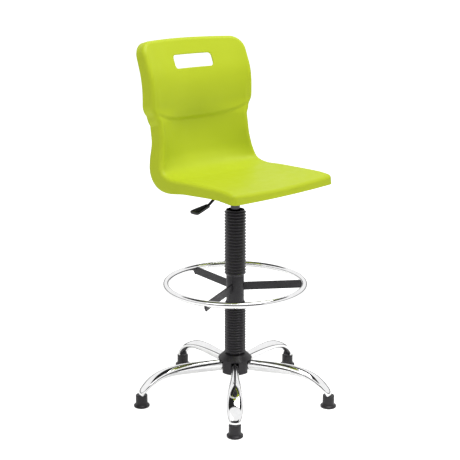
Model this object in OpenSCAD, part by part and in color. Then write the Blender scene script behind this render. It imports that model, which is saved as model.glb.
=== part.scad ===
// Drafting chair: a moulded shell on a gas-lift column, with a foot ring and a five-leg base.
// Millimetres, +Z up. The origin is on the floor under the column's axis. The chair faces -Y.

/* [Seat shell] */
// Width across the seat
seat_width = 400; // [360:1:430]
// Width across the waist, at the lumbar notch
waist_width = 349; // [335:1:375]
// Width across the upper back
back_width = 400; // [370:1:430]
// Thickness of the moulded wall
shell_wall = 5; // [3.5:0.5:6]
// Radius where the wall turns over into the rim
rim_radius = 12; // [8:1:16]
// How deep the rim is round the seat
seat_rim_depth = 28; // [22:1:34]
// How deep the rim is round the back
back_rim_depth = 37; // [30:1:42]
// Radius of the two top corners
top_corner_radius = 43; // [30:1:56]
// Radius of the two front corners
front_corner_radius = 17; // [14:1:40]
// Length of the handle slot
slot_length = 150; // [120:1:170]
// Height of the handle slot
slot_height = 38; // [28:1:44]

/* [Column] */
// Diameter of the gas spring's pressure tube
gas_tube_d = 28; // [28:1:28]
// Outer diameter of the column tube
column_d = 50; // [50:1:50]
// How far the seat goes down from its top position
lift_travel = 140; // [100:1:140]
// Outer diameter of both bellows, over the ribs
bellows_d = 64; // [60:1:68]
// Number of ribs on the upper bellows
upper_ribs = 21; // [15:1:24]
// Number of ribs on the lower bellows
lower_ribs = 17; // [12:1:20]

/* [Foot ring] */
// Radius of the foot ring, to the middle of its tube
ring_radius = 206; // [190:1:225]
// Diameter of the foot ring's tube
ring_tube_d = 18.5; // [16:0.5:22]
// Height of the foot ring above the floor
ring_height = 355; // [345:1:362]
// Turn of the first spoke about the column, in degrees
spoke_turn = -38; // [-90:1:90]

/* [Base] */
// Radius of the circle that the glides stand on
glide_circle_radius = 292; // [280:1:300]
// Turn of the first leg about the column, in degrees
leg_turn = -135; // [-180:1:180]
// Diameter of a glide's body
glide_d = 35; // [32:1:38]
// Diameter of a glide's foot
glide_foot_d = 47; // [42:1:50]

/* [Hidden] */
$fn = 48;
running_fit = 0.05;

// ---- Heights above the floor ----
hub_bottom = 79;
hub_top = 137;
lower_bellows_top = 284;
collar_top = 302;
ring_hub_top = 382;
upper_bellows_top = 582;
socket_bottom = 598;
housing_bottom = 606;
plate_bottom = 646;

// ---- Seat shell ----
// The wall's front face follows two lines from the front of the seat to the top of the back:
// one along its edge and one along its middle. Each station is [edge y, edge z, mid y, mid z].
shell_stations = [
    [-188, 686, -188, 678],
    [-150, 690, -150, 680],
    [-105, 691, -100, 680],
    [-55, 691, -48, 679],
    [0, 691, 10, 678],
    [58, 690, 72, 681],
    [95, 701, 120, 696],
    [109, 727, 147, 725],
    [115, 762, 160, 760],
    [119, 797, 167, 796],
    [124, 832, 168, 832],
    [128, 867, 162, 868],
    [127, 902, 158, 903],
    [128, 938, 159, 938],
    [134, 974, 167, 974],
    [149, 1014, 182, 1014],
    [167, 1056, 199, 1059]
];
last_station = len(shell_stations) - 1;
top_segment = 48.5;
front_segment = 37;
// Width at each station: the seat's, narrowing to the waist, then the upper back's. The front flares.
waist_reached = 9;
waist_end = 10;
waist_rise = 1.6;
front_flare = 3;
function smooth(x) = let (c = min(1, max(0, x))) c * c * (3 - 2 * c);
function shell_half_width(t) =
    front_flare * (1 - smooth(t / 2))
    + (t < waist_end
        ? seat_width / 2 - (seat_width - waist_width) / 2 * smooth((t - 5) / (waist_reached - 5))
        : waist_width / 2 + (back_width - waist_width) / 2 * smooth((t - waist_end) / waist_rise));

// Depth of the rim at station t: deeper up the back and at the heel, shallower at the top,
// and arched a little along the front of the seat, at a distance x from the middle plane
top_rim_taper = 6;
heel_station = 6.3;
heel_reach = 2.4;
heel_extra = 9;
front_arch = 5;
function rim_depth(x, t) =
    seat_rim_depth + (back_rim_depth - seat_rim_depth) * smooth((t - 1) / 5)
    - top_rim_taper * smooth((t - 13.5) / 2.5)
    + heel_extra * smooth(1 - abs(t - heel_station) / heel_reach)
    - front_arch * max(0, 1 - pow(2 * x / seat_width, 2)) * (1 - smooth(t / 0.5));
rim_flare = 3;

// Catmull-Rom curve through a list of stations, at station number t
function past_end(list, i) =
    i < 0 ? 2 * list[0] - list[1]
    : i >= len(list) ? 2 * list[len(list) - 1] - list[len(list) - 2] : list[i];
function curve(list, t) =
    let (i = min(len(list) - 2, max(0, floor(t))), f = t - i)
    let (a = past_end(list, i - 1), b = list[i], c = list[i + 1], d = past_end(list, i + 2))
    0.5 * (2 * b + (c - a) * f + (2 * a - 5 * b + 4 * c - d) * f * f + (3 * b - a - 3 * c + d) * f * f * f);
function along(t) = curve(shell_stations, t);

// An oval bar swept in the plane y = 0 through stations [x, height, half width, half thickness]
function bar_ring(stations, t, sides) =
    let (c = curve(stations, t), d = curve(stations, t + 0.01) - curve(stations, t - 0.01))
    let (slope = atan2(d[1], d[0]))
    [for (k = [0 : sides - 1])
        let (a = 360 * k / sides, across = c[2] * cos(a), up = c[3] * sin(a))
        [c[0] - up * sin(slope), across, c[1] + up * cos(slope)]];
module swept_bar(stations, rings, sides) {
    polyhedron(
        points = [for (i = [0 : rings]) each bar_ring(stations, i * (len(stations) - 1) / rings, sides)],
        faces = concat(
            [[for (k = [0 : sides - 1]) k]],
            [for (i = [0 : rings - 1], k = [0 : sides - 1], half = [0, 1])
                let (a = i * sides + k, b = i * sides + (k + 1) % sides)
                half == 0 ? [a, b + sides, b] : [a, a + sides, b + sides]],
            [[for (k = [sides - 1 : -1 : 0]) rings * sides + k]]
        ),
        convexity = 4
    );
}

// The wall's front face at a distance x from the middle plane, at station number t
function wall_point(x, t) =
    let (p = along(t), bend = pow(min(1.2, abs(x) / (shell_half_width(t) - rim_radius)), 2))
    [x, p[2] + (p[0] - p[2]) * bend, p[3] + (p[1] - p[3]) * bend];
function unit(v) = v / norm(v);
function wall_normal(x, t) =
    unit(cross(wall_point(x + 1, t) - wall_point(x - 1, t), wall_point(x, t + 0.05) - wall_point(x, t - 0.05)));

// The wall's grid stops where the rim's rounding starts, so its corners are tighter by that radius.
top_grid_corner = top_corner_radius - rim_radius;
front_grid_corner = front_corner_radius - rim_radius;
row_first = front_grid_corner / front_segment;
row_last = last_station - top_grid_corner / top_segment;
corner_steps = 4;
columns = 22;
rows_between = 44;
function corner_row(k) = 1 - cos(90 * k / corner_steps);
rows = concat(
    [for (k = [0 : corner_steps - 1]) row_first * corner_row(k)],
    [for (k = [0 : rows_between]) row_first + (row_last - row_first) * k / rows_between],
    [for (k = [corner_steps - 1 : -1 : 0]) last_station - (last_station - row_last) * corner_row(k)]
);
last_row = len(rows) - 1;
function corner_inset(radius, distance) =
    distance >= radius ? 0 : radius - sqrt(pow(radius, 2) - pow(radius - distance, 2));
function grid_half_width(t) = shell_half_width(t) - rim_radius
    - corner_inset(front_grid_corner, t * front_segment)
    - corner_inset(top_grid_corner, (last_station - t) * top_segment);
function grid_x(i, j) = (2 * i / columns - 1) * grid_half_width(rows[j]);

// Once round the grid's border, as [column, row], starting along the front
border = concat(
    [for (i = [0 : columns]) [i, 0]],
    [for (j = [1 : last_row]) [columns, j]],
    [for (i = [columns - 1 : -1 : 0]) [i, last_row]],
    [for (j = [last_row - 1 : -1 : 1]) [0, j]]
);
border_count = len(border);
function border_point(k) =
    let (b = border[(k + border_count) % border_count])
    wall_point(grid_x(b[0], b[1]), rows[b[1]]);

// The rim turns back square to the wall's middle line, so both side rims run straight back.
// One skin of the shell: the wall's face set back by depth, then the rounding, then the rim's lip.
rounding_steps = 3;
function rim_back(normal) = unit([0, -normal[1], -normal[2]]);
function skin_points(depth) =
    let (face = [for (j = [0 : last_row], i = [0 : columns])
        wall_point(grid_x(i, j), rows[j]) - depth * wall_normal(grid_x(i, j), rows[j])])
    let (normals = [for (b = border) wall_normal(grid_x(b[0], b[1]), rows[b[1]])])
    let (outward = [for (k = [0 : border_count - 1])
        unit(cross(border_point(k + 1) - border_point(k - 1), normals[k]))])
    let (backs = [for (n = normals) rim_back(n)])
    let (centres = [for (k = [0 : border_count - 1]) border_point(k) - rim_radius * normals[k]])
    let (sides = [for (k = [0 : border_count - 1])
        unit(outward[k] - (outward[k] * backs[k]) * backs[k])])
    let (rounding = [for (step = [1 : rounding_steps], k = [0 : border_count - 1])
        let (a = acos(outward[k] * backs[k]) * step / rounding_steps)
        centres[k] + (rim_radius - depth) * (cos(a) * normals[k] + sin(a) * outward[k])])
    let (lip = [for (k = [0 : border_count - 1])
        let (behind = (centres[k] - border_point(k)) * backs[k])
        centres[k] + (rim_radius - depth + rim_flare) * sides[k]
            + (rim_depth(border_point(k)[0], rows[border[k][1]]) - behind) * backs[k]])
    concat(face, rounding, lip);

face_count = (columns + 1) * (last_row + 1);
skin_count = face_count + (rounding_steps + 1) * border_count;
function ring_index(ring, k) =
    let (kk = k % border_count)
    ring == 0 ? border[kk][1] * (columns + 1) + border[kk][0] : face_count + (ring - 1) * border_count + kk;
function flipped(faces) = [for (f = faces) [f[2], f[1], f[0]]];
skin_faces = concat(
    [for (j = [0 : last_row - 1], i = [0 : columns - 1], half = [0, 1])
        let (a = j * (columns + 1) + i, b = a + 1, c = b + columns + 1, d = a + columns + 1)
        half == 0 ? [a, c, b] : [a, d, c]],
    [for (ring = [0 : rounding_steps], k = [0 : border_count - 1], half = [0, 1])
        let (a = ring_index(ring, k), b = ring_index(ring, k + 1))
        let (c = ring_index(ring + 1, k + 1), d = ring_index(ring + 1, k))
        half == 0 ? [a, b, c] : [a, c, d]]
);
lip_faces = [for (k = [0 : border_count - 1], half = [0, 1])
    let (a = ring_index(rounding_steps + 1, k), b = ring_index(rounding_steps + 1, k + 1))
    half == 0 ? [a, b, b + skin_count] : [a, b + skin_count, a + skin_count]];

module shell_body() {
    polyhedron(
        points = concat(skin_points(0), skin_points(shell_wall)),
        faces = concat(
            skin_faces,
            [for (f = flipped(skin_faces)) [f[0] + skin_count, f[1] + skin_count, f[2] + skin_count]],
            lip_faces
        ),
        convexity = 8
    );
}

// Handle slot: a rounded rectangle cut level through the back
slot_centre_z = 1002;
slot_corner = 10;
module handle_slot() {
    translate([0, 260, slot_centre_z])
    rotate([90, 0, 0])
    linear_extrude(200) {
        for (x = [-1, 1], y = [-1, 1])
            translate([x * (slot_length / 2 - slot_corner), y * (slot_height / 2 - slot_corner)])
                circle(slot_corner);
        square([slot_length - 2 * slot_corner, slot_height], center = true);
        square([slot_length, slot_height - 2 * slot_corner], center = true);
    }
}

// The seat is screwed to its plate at four bosses
boss_d = 20;
boss_top = 677;
insert_d = 9;
insert_length = 14;
screw_d = 6;
screw_head_d = 12;
screw_head_height = 4;
screw_length = 18;
screw_clearance = 0.05;
boss_x = 70;
boss_y_front = -80;
boss_y_rear = 60;
module at_bosses() {
    for (x = [-boss_x, boss_x], y = [boss_y_front, boss_y_rear])
        translate([x, y, plate_bottom]) children();
}
plate_thickness = 4;
plate_top = plate_bottom + plate_thickness;
plate_size = [310, 250];
plate_y = -20;
plate_corner = 15;

module seat_shell() {
    color("yellowgreen")
    difference() {
        union() {
            shell_body();
            at_bosses()
                translate([0, 0, plate_thickness]) cylinder(d = boss_d, h = boss_top - plate_top);
        }
        handle_slot();
        at_bosses() cylinder(d = insert_d, h = plate_thickness + screw_length);
    }
}

module shell_inserts() {
    color("goldenrod")
    at_bosses()
        translate([0, 0, plate_thickness])
        difference() {
            cylinder(d = insert_d, h = insert_length);
            translate([0, 0, -1]) cylinder(d = screw_d + 2 * screw_clearance, h = insert_length + 2);
        }
}

module mounting_plate() {
    color("dimgray")
    difference() {
        translate([0, plate_y, plate_bottom])
        linear_extrude(plate_thickness) {
            for (x = [-1, 1], y = [-1, 1])
                translate([x * (plate_size[0] / 2 - plate_corner), y * (plate_size[1] / 2 - plate_corner)])
                    circle(plate_corner);
            square([plate_size[0] - 2 * plate_corner, plate_size[1]], center = true);
            square([plate_size[0], plate_size[1] - 2 * plate_corner], center = true);
        }
        at_bosses()
            translate([0, 0, -1]) cylinder(d = screw_d + 0.6, h = plate_thickness + 2);
    }
}

module seat_screws() {
    color("silver")
    at_bosses() {
        translate([0, 0, -screw_head_height]) cylinder(d = screw_head_d, h = screw_head_height);
        cylinder(d = screw_d, h = screw_length);
    }
}

// ---- Seat mechanism ----
housing_length = 80;
housing_width = 48;
housing_wall = 2.5;
socket_d = 38;
socket_top = 636;
lever_pivot_x = -30;
lever_pivot_z = 634;
pivot_pin_d = 5;
taper_drop = 0.4;
gas_tube_r = gas_tube_d / 2;
gas_tube_bottom = 250;
gas_tube_top = 634;

module mechanism_housing() {
    color("dimgray")
    difference() {
        translate([-housing_length / 2, -housing_width / 2, housing_bottom])
            cube([housing_length, housing_width, plate_bottom - housing_bottom]);
        translate([-housing_length, housing_wall - housing_width / 2, housing_bottom + housing_wall])
            cube([2 * housing_length, housing_width - 2 * housing_wall, plate_bottom]);
        translate([0, 0, housing_bottom - 1]) cylinder(d = socket_d, h = housing_wall + 2);
        translate([lever_pivot_x, 0, lever_pivot_z])
        rotate([90, 0, 0])
            cylinder(d = pivot_pin_d, h = 2 * housing_width, center = true);
    }
}

module taper_socket() {
    color("dimgray")
    difference() {
        translate([0, 0, socket_bottom]) cylinder(d = socket_d, h = socket_top - socket_bottom);
        translate([0, 0, socket_bottom])
            cylinder(r1 = gas_tube_r, r2 = gas_tube_r - taper_drop, h = gas_tube_top - socket_bottom);
        translate([0, 0, gas_tube_top - 0.5]) cylinder(r = gas_tube_r - taper_drop, h = 10);
    }
}

module lever_pivot_pin() {
    pin_length = housing_width + 3;
    color("silver")
    translate([lever_pivot_x, 0, lever_pivot_z])
    rotate([90, 0, 0]) {
        cylinder(d = pivot_pin_d, h = pin_length, center = true);
        translate([0, 0, housing_width / 2]) cylinder(d = pivot_pin_d + 3, h = 2);
    }
}

// The lever's rod, bent in the plane y = 0. Stations are [x, height, half width, half thickness].
lever_rod_r = 4;
lever_stations = [for (p = [[lever_pivot_x, lever_pivot_z], [-52, 635], [-72, 633], [-92, 621.5],
                            [-111, 610], [-132, 603.5], [-160, 598]])
    [p[0], p[1], lever_rod_r, lever_rod_r]];
module lever_rod() {
    swept_bar(lever_stations, rings = 18, sides = 16);
}

button_d = 8;
button_top = 640.4;
tongue_gap = 0.4;
tongue_thickness = 4;
tongue_width = 12;
tongue_end = 6;
pivot_boss_d = 12;
pivot_boss_length = 41;
module release_lever() {
    color("#222222")
    difference() {
        union() {
            lever_rod();
            translate([lever_pivot_x, 0, lever_pivot_z])
            rotate([90, 0, 0])
                cylinder(d = pivot_boss_d, h = pivot_boss_length, center = true);
            translate([lever_pivot_x - 4, -tongue_width / 2, button_top + tongue_gap])
                cube([tongue_end - lever_pivot_x + 4, tongue_width, tongue_thickness]);
            translate([lever_pivot_x - 4, -tongue_width / 2, lever_pivot_z])
                cube([8, tongue_width, button_top + tongue_gap + tongue_thickness - lever_pivot_z]);
        }
        translate([lever_pivot_x, 0, lever_pivot_z])
        rotate([90, 0, 0])
            cylinder(d = pivot_pin_d + 2 * running_fit, h = 2 * housing_width, center = true);
    }
}

paddle_start = [-106, 611];
paddle_slope = 12;
paddle_length = 63;
paddle_thickness = 11;
paddle_narrow_r = 7.5;
paddle_wide_r = 9;
paddle_spread = 8;
module lever_paddle() {
    color("#1c1c1c")
    difference() {
        translate([paddle_start[0], 0, paddle_start[1]])
        rotate([0, paddle_slope, 180])
        translate([0, 0, -paddle_thickness / 2])
        linear_extrude(paddle_thickness)
        hull() {
            translate([paddle_narrow_r, 0]) circle(paddle_narrow_r);
            for (side = [-1, 1])
                translate([paddle_length - paddle_wide_r, side * paddle_spread]) circle(paddle_wide_r);
        }
        lever_rod();
    }
}

// ---- Gas spring ----
gas_bore_r = 12;
gas_bore_top = 620;
rod_d = 10;
rod_seal_length = 14;
rod_bottom = 70;
piston_bottom = 268;
piston_length = 16;
module gas_tube() {
    color("#3b3b3d")
    difference() {
        union() {
            translate([0, 0, gas_tube_bottom]) cylinder(r = gas_tube_r, h = socket_bottom - gas_tube_bottom);
            translate([0, 0, socket_bottom])
                cylinder(r1 = gas_tube_r, r2 = gas_tube_r - taper_drop, h = gas_tube_top - socket_bottom);
        }
        translate([0, 0, gas_tube_bottom - 1]) cylinder(r = gas_bore_r, h = gas_bore_top - gas_tube_bottom + 1);
        translate([0, 0, gas_bore_top - 1]) cylinder(d = button_d + 2 * running_fit, h = 30);
    }
}

module release_button() {
    stem_length = 38;
    color("silver")
    translate([0, 0, button_top - stem_length]) cylinder(d = button_d, h = stem_length);
}

module rod_seal() {
    color("black")
    translate([0, 0, gas_tube_bottom])
    difference() {
        cylinder(r = gas_bore_r, h = rod_seal_length);
        translate([0, 0, -1]) cylinder(d = rod_d + 2 * running_fit, h = rod_seal_length + 2);
    }
}

clip_groove_z = 72.5;
clip_thickness = 1.5;
clip_groove_depth = 1;
module piston_rod() {
    color("silver")
    difference() {
        translate([0, 0, rod_bottom]) cylinder(d = rod_d, h = piston_bottom + piston_length - rod_bottom);
        translate([0, 0, clip_groove_z])
        difference() {
            cylinder(d = rod_d + 2, h = clip_thickness);
            translate([0, 0, -1]) cylinder(d = rod_d - 2 * clip_groove_depth, h = clip_thickness + 2);
        }
    }
}

module piston() {
    color("dimgray")
    translate([0, 0, piston_bottom])
    difference() {
        cylinder(r = gas_bore_r - running_fit, h = piston_length);
        translate([0, 0, -1]) cylinder(d = rod_d, h = piston_length + 2);
    }
}

module rod_clip() {
    color("silver")
    translate([0, 0, clip_groove_z])
    difference() {
        cylinder(d = rod_d + 8, h = clip_thickness);
        translate([0, 0, -1]) cylinder(d = rod_d - 2 * clip_groove_depth, h = clip_thickness + 2);
        translate([0, -(rod_d - 2) / 2, -1]) cube([rod_d + 8, rod_d - 2, clip_thickness + 2]);
    }
}

// ---- Column ----
column_r = column_d / 2;
column_bore_r = 23.2;
column_bottom = 76;
column_floor = 80;
column_top = 386;
column_taper_drop = 0.8;
column_taper_top = 137;
module column_outside() {
    translate([0, 0, column_bottom])
        cylinder(r1 = column_r - column_taper_drop, r2 = column_r, h = column_taper_top - column_bottom);
    translate([0, 0, column_taper_top]) cylinder(r = column_r, h = column_top - column_taper_top);
}
module column_tube() {
    color("#2b2b2d")
    difference() {
        column_outside();
        translate([0, 0, column_floor]) cylinder(r = column_bore_r, h = column_top);
        translate([0, 0, column_bottom - 1]) cylinder(d = rod_d + 2 * running_fit, h = 10);
    }
}

bush_bottom = 300;
bush_flange = 3;
module guide_bush() {
    color("black")
    difference() {
        union() {
            translate([0, 0, bush_bottom]) cylinder(r = column_bore_r, h = column_top - bush_bottom);
            translate([0, 0, column_top]) cylinder(r = column_r - 0.2, h = bush_flange);
        }
        translate([0, 0, bush_bottom - 1]) cylinder(r = gas_tube_r + running_fit, h = column_top);
    }
}

race_thickness = 2.2;
race_inner_r = 5.3;
race_outer_r = 11.8;
ball_d = 4;
ball_circle_r = 8.6;
ball_count = 8;
ball_gap = 0.05;
upper_race_z = column_floor + race_thickness + ball_d + 2 * ball_gap;
module race(z, inner_r) {
    translate([0, 0, z])
    difference() {
        cylinder(r = race_outer_r, h = race_thickness);
        translate([0, 0, -1]) cylinder(r = inner_r, h = race_thickness + 2);
    }
}
module lower_race() {
    color("silver") race(column_floor, race_inner_r);
}
module bearing_balls() {
    color("silver")
    for (k = [0 : ball_count - 1])
        rotate([0, 0, 360 * k / ball_count])
        translate([ball_circle_r, 0, column_floor + race_thickness + ball_gap + ball_d / 2])
            sphere(d = ball_d);
}
module upper_race() {
    color("silver") race(upper_race_z, rod_d / 2);
}
module end_buffer() {
    buffer_length = 13;
    color("black")
    translate([0, 0, upper_race_z + race_thickness])
    difference() {
        cylinder(d = 26, h = buffer_length);
        translate([0, 0, -1]) cylinder(d = rod_d, h = buffer_length + 2);
    }
}

// ---- Bellows: ribs turned from one zigzag wall ----
bellows_root_r = 27.2;
bellows_wall = 1.2;
bellows_cuff = 3;
module bellows(bottom, top, ribs) {
    rib_r = bellows_d / 2;
    pitch = (top - bottom - 2 * bellows_cuff) / ribs;
    start = bottom + bellows_cuff;
    outside = [for (k = [0 : ribs - 1])
        each [[bellows_root_r, start + k * pitch],
              [rib_r, start + (k + 0.42) * pitch],
              [rib_r, start + (k + 0.58) * pitch]]];
    closing = [[bellows_root_r, top - bellows_cuff], [bellows_root_r, top]];
    outline = concat([[bellows_root_r, bottom]], outside, closing);
    inside = [for (k = [len(outline) - 1 : -1 : 0]) outline[k] - [bellows_wall, 0]];
    rotate_extrude() polygon(concat(outline, inside));
}
module upper_bellows() {
    color("#202022") bellows(ring_hub_top, upper_bellows_top, upper_ribs);
}
module lower_bellows() {
    color("#202022") bellows(hub_top, lower_bellows_top, lower_ribs);
}

// ---- Foot ring ----
ring_hub_r = 26.5;
spoke_count = 3;
spoke_height = 24;
spoke_thickness = 6;
spoke_z = 346.5;
spoke_end = ring_radius + 9;
ring_wall = 1.5;
ring_screw_d = 4;
module ring_hub() {
    color("#2b2b2d")
    translate([0, 0, collar_top])
    difference() {
        cylinder(r = ring_hub_r, h = ring_hub_top - collar_top);
        translate([0, 0, -1]) cylinder(r = column_r, h = ring_hub_top - collar_top + 2);
    }
}

collar_screw_z = lower_bellows_top + 5;
collar_screw_d = 5;
module at_collar_screws() {
    for (side = [0, 180])
        rotate([0, 0, spoke_turn + side])
        translate([column_r, 0, collar_screw_z])
        rotate([0, 90, 0])
            children();
}
collar_screw_sink = 0.5;
module ring_collar() {
    collar_r = bellows_d / 2;
    color("#2b2b2d")
    difference() {
        rotate_extrude()
        polygon([
            [column_r, lower_bellows_top], [collar_r, lower_bellows_top], [collar_r, lower_bellows_top + 9],
            [ring_hub_r + 1, collar_top], [column_r, collar_top]
        ]);
        at_collar_screws()
            translate([0, 0, -3]) cylinder(d = collar_screw_d, h = 20);
    }
}
module collar_screws() {
    color("silver")
    at_collar_screws() cylinder(d = collar_screw_d, h = bellows_d / 2 - column_r - collar_screw_sink);
}

module ring_path(radius) {
    translate([0, 0, ring_height])
    rotate_extrude($fn = 96)
    translate([ring_radius, 0])
        circle(radius);
}
module spoke(k) {
    color("#242426")
    difference() {
        rotate([0, 0, spoke_turn + 360 * k / spoke_count])
        difference() {
            union() {
                translate([20, -spoke_thickness / 2, spoke_z - spoke_height / 2])
                    cube([spoke_end - 20 - spoke_height / 2, spoke_thickness, spoke_height]);
                translate([spoke_end - spoke_height / 2, 0, spoke_z])
                rotate([90, 0, 0])
                    cylinder(d = spoke_height, h = spoke_thickness, center = true);
            }
            translate([ring_radius, 0, 0]) cylinder(d = ring_screw_d + 0.2, h = 400);
        }
        translate([0, 0, collar_top]) cylinder(r = ring_hub_r, h = ring_hub_top - collar_top);
        ring_path(ring_tube_d / 2);
        translate([0, 0, ring_height])
        difference() {
            cylinder(r = ring_radius + 30, h = 20);
            translate([0, 0, -1]) cylinder(r = ring_radius, h = 22);
        }
    }
}
module spoke_1() { spoke(0); }
module spoke_2() { spoke(1); }
module spoke_3() { spoke(2); }

module at_ring_screws() {
    for (k = [0 : spoke_count - 1])
        rotate([0, 0, spoke_turn + 360 * k / spoke_count])
        translate([ring_radius, 0, spoke_z - spoke_height / 2])
            children();
}
module foot_ring() {
    color("silver")
    difference() {
        ring_path(ring_tube_d / 2);
        ring_path(ring_tube_d / 2 - ring_wall);
        at_ring_screws() cylinder(d = ring_screw_d, h = 20);
    }
}
module ring_screws() {
    color("#242426")
    at_ring_screws() {
        translate([0, 0, -2]) cylinder(d = 7, h = 2);
        cylinder(d = ring_screw_d, h = 16);
    }
}

// ---- Base ----
base_hub_r = 31;
base_hub_top = 134;
module base_hub() {
    color("#2b2b2d")
    difference() {
        translate([0, 0, hub_bottom]) cylinder(r = base_hub_r, h = base_hub_top - hub_bottom);
        column_outside();
    }
}

barrel_r = 45;
skirt_r = 51;
skirt_bottom = 119.5;
cover_wall = 2.5;
cover_hole_r = 26;
leg_count = 5;
leg_opening = 23;
module hub_cover() {
    cover_shoulder_r = 35;
    color("#1e1e20")
    difference() {
        rotate_extrude()
        polygon([
            [barrel_r, hub_bottom], [barrel_r, skirt_bottom], [skirt_r, skirt_bottom],
            [skirt_r, skirt_bottom + 2], [cover_shoulder_r, hub_top], [cover_hole_r, hub_top],
            [cover_hole_r, hub_top - cover_wall], [cover_shoulder_r - 1, hub_top - cover_wall],
            [barrel_r - cover_wall, skirt_bottom + 4], [barrel_r - cover_wall, hub_bottom]
        ]);
        for (k = [0 : leg_count - 1])
            rotate([0, 0, leg_turn + 360 * k / leg_count])
            translate([0, -leg_opening / 2, hub_bottom - 1])
                cube([2 * barrel_r, leg_opening, skirt_bottom - hub_bottom + 1]);
    }
}

// A leg's stations from hub to glide: [distance from the axis, height, half width, half thickness]
leg_stations = [
    [27, 101, 10, 17.3],
    [80, 102, 11.5, 17.3],
    [130, 102.5, 14, 17],
    [175, 101.5, 17, 15.3],
    [213, 96.5, 20.5, 12.8],
    [242, 86.5, 23, 10.6],
    [264, 72.5, 23.5, 9.4],
    [280, 57.5, 21.5, 9],
    [glide_circle_radius - 2, 45, 18, 9],
    [glide_circle_radius, 36.5, 15.5, 9]
];
leg_rings = 30;
leg_sides = 16;
glide_top = 37;
stem_d = 10;
stem_bottom = 18;
stem_top = 52;
module leg(k) {
    color("gainsboro")
    rotate([0, 0, leg_turn + 360 * k / leg_count])
    difference() {
        swept_bar(leg_stations, leg_rings, leg_sides);
        cylinder(r = base_hub_r, h = 200);
        translate([0, 0, glide_top - 20]) cylinder(r = 400, h = 20);
        translate([glide_circle_radius, 0, glide_top - 1]) cylinder(d = stem_d, h = stem_top - glide_top + 2);
    }
}
module leg_1() { leg(0); }
module leg_2() { leg(1); }
module leg_3() { leg(2); }
module leg_4() { leg(3); }
module leg_5() { leg(4); }

module at_glide(k) {
    rotate([0, 0, leg_turn + 360 * k / leg_count])
    translate([glide_circle_radius, 0, 0])
        children();
}
module glide(k) {
    foot_r = glide_foot_d / 2;
    body_r = glide_d / 2;
    color("#1e1e20")
    at_glide(k)
    rotate_extrude()
    polygon([
        [0, 0], [foot_r - 1, 0], [foot_r, 1], [foot_r, 5], [body_r + 0.8, 9], [body_r, 13],
        [body_r, glide_top - 1.5], [body_r - 1.5, glide_top], [stem_d / 2, glide_top],
        [stem_d / 2, stem_bottom], [0, stem_bottom]
    ]);
}
module glide_1() { glide(0); }
module glide_2() { glide(1); }
module glide_3() { glide(2); }
module glide_4() { glide(3); }
module glide_5() { glide(4); }

module glide_stems() {
    color("silver")
    for (k = [0 : leg_count - 1])
        at_glide(k)
        translate([0, 0, stem_bottom]) cylinder(d = stem_d, h = stem_top - stem_bottom);
}

seat_shell();
shell_inserts();
mounting_plate();
seat_screws();
mechanism_housing();
taper_socket();
lever_pivot_pin();
release_lever();
lever_paddle();
gas_tube();
release_button();
rod_seal();
piston_rod();
piston();
rod_clip();
column_tube();
guide_bush();
lower_race();
bearing_balls();
upper_race();
end_buffer();
upper_bellows();
lower_bellows();
ring_hub();
ring_collar();
collar_screws();
spoke_1();
spoke_2();
spoke_3();
foot_ring();
ring_screws();
base_hub();
hub_cover();
leg_1();
leg_2();
leg_3();
leg_4();
leg_5();
glide_1();
glide_2();
glide_3();
glide_4();
glide_5();
glide_stems();
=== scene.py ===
"""Drafting chair: the looks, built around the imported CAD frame.

Every length is in metres, in the CAD's frame: +Z up, the floor at z = 0, the column on the Z axis,
and the chair facing -Y.
"""

import logging
import math
from dataclasses import dataclass, field
from enum import Enum

import bpy
import numpy as np
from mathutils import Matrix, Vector


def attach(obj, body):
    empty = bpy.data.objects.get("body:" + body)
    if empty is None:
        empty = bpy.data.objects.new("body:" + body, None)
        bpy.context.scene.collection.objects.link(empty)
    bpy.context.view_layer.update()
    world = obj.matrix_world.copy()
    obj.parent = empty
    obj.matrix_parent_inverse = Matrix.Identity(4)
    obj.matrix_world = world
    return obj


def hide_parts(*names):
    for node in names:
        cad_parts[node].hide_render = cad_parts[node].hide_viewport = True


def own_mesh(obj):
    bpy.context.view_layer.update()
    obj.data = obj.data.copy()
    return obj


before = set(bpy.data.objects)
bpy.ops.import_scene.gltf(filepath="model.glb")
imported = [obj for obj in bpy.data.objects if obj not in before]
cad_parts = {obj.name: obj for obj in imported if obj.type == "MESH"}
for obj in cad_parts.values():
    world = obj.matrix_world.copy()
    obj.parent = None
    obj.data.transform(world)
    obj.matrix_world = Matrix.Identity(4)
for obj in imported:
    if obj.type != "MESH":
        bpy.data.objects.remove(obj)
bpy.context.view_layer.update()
log = logging.getLogger("drafting_chair")

Point = tuple[float, float, float]
Faces = list[list[int]]
Socket = bpy.types.NodeSocket

LEG_COUNT = 5
LEG_TURN = -135.0
SCREW_PLACES = ((-0.07, -0.08), (0.07, -0.08), (-0.07, 0.06), (0.07, 0.06))


# ---------------------------------------------------------------------------
# Bodies, slots and shapes
# ---------------------------------------------------------------------------


class Body(Enum):
    """The rigid bodies of the CAD model that a piece can move with."""

    BASE = "base"
    SEAT = "seat"
    LEVER = "lever"


class Slot(Enum):
    """The material slots that the pieces are dressed from."""

    SHELL = "shell"
    BLACK_PLASTIC = "black_plastic"
    GLOSS_BLACK = "gloss_black"
    BELLOWS = "bellows"
    BLACK_STEEL = "black_steel"
    CHROME = "chrome"
    GAS_STEEL = "gas_steel"
    STEEL = "steel"
    BRASS = "brass"


def smooth_step(x: np.ndarray | float) -> np.ndarray | float:
    """Return x eased from 0 to 1, level at both ends."""
    c = np.clip(x, 0.0, 1.0)
    return c * c * (3.0 - 2.0 * c)


def unit(vectors: np.ndarray) -> np.ndarray:
    """Return vectors scaled to length one along their last axis."""
    return vectors / np.maximum(np.linalg.norm(vectors, axis=-1, keepdims=True), 1e-12)


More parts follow.
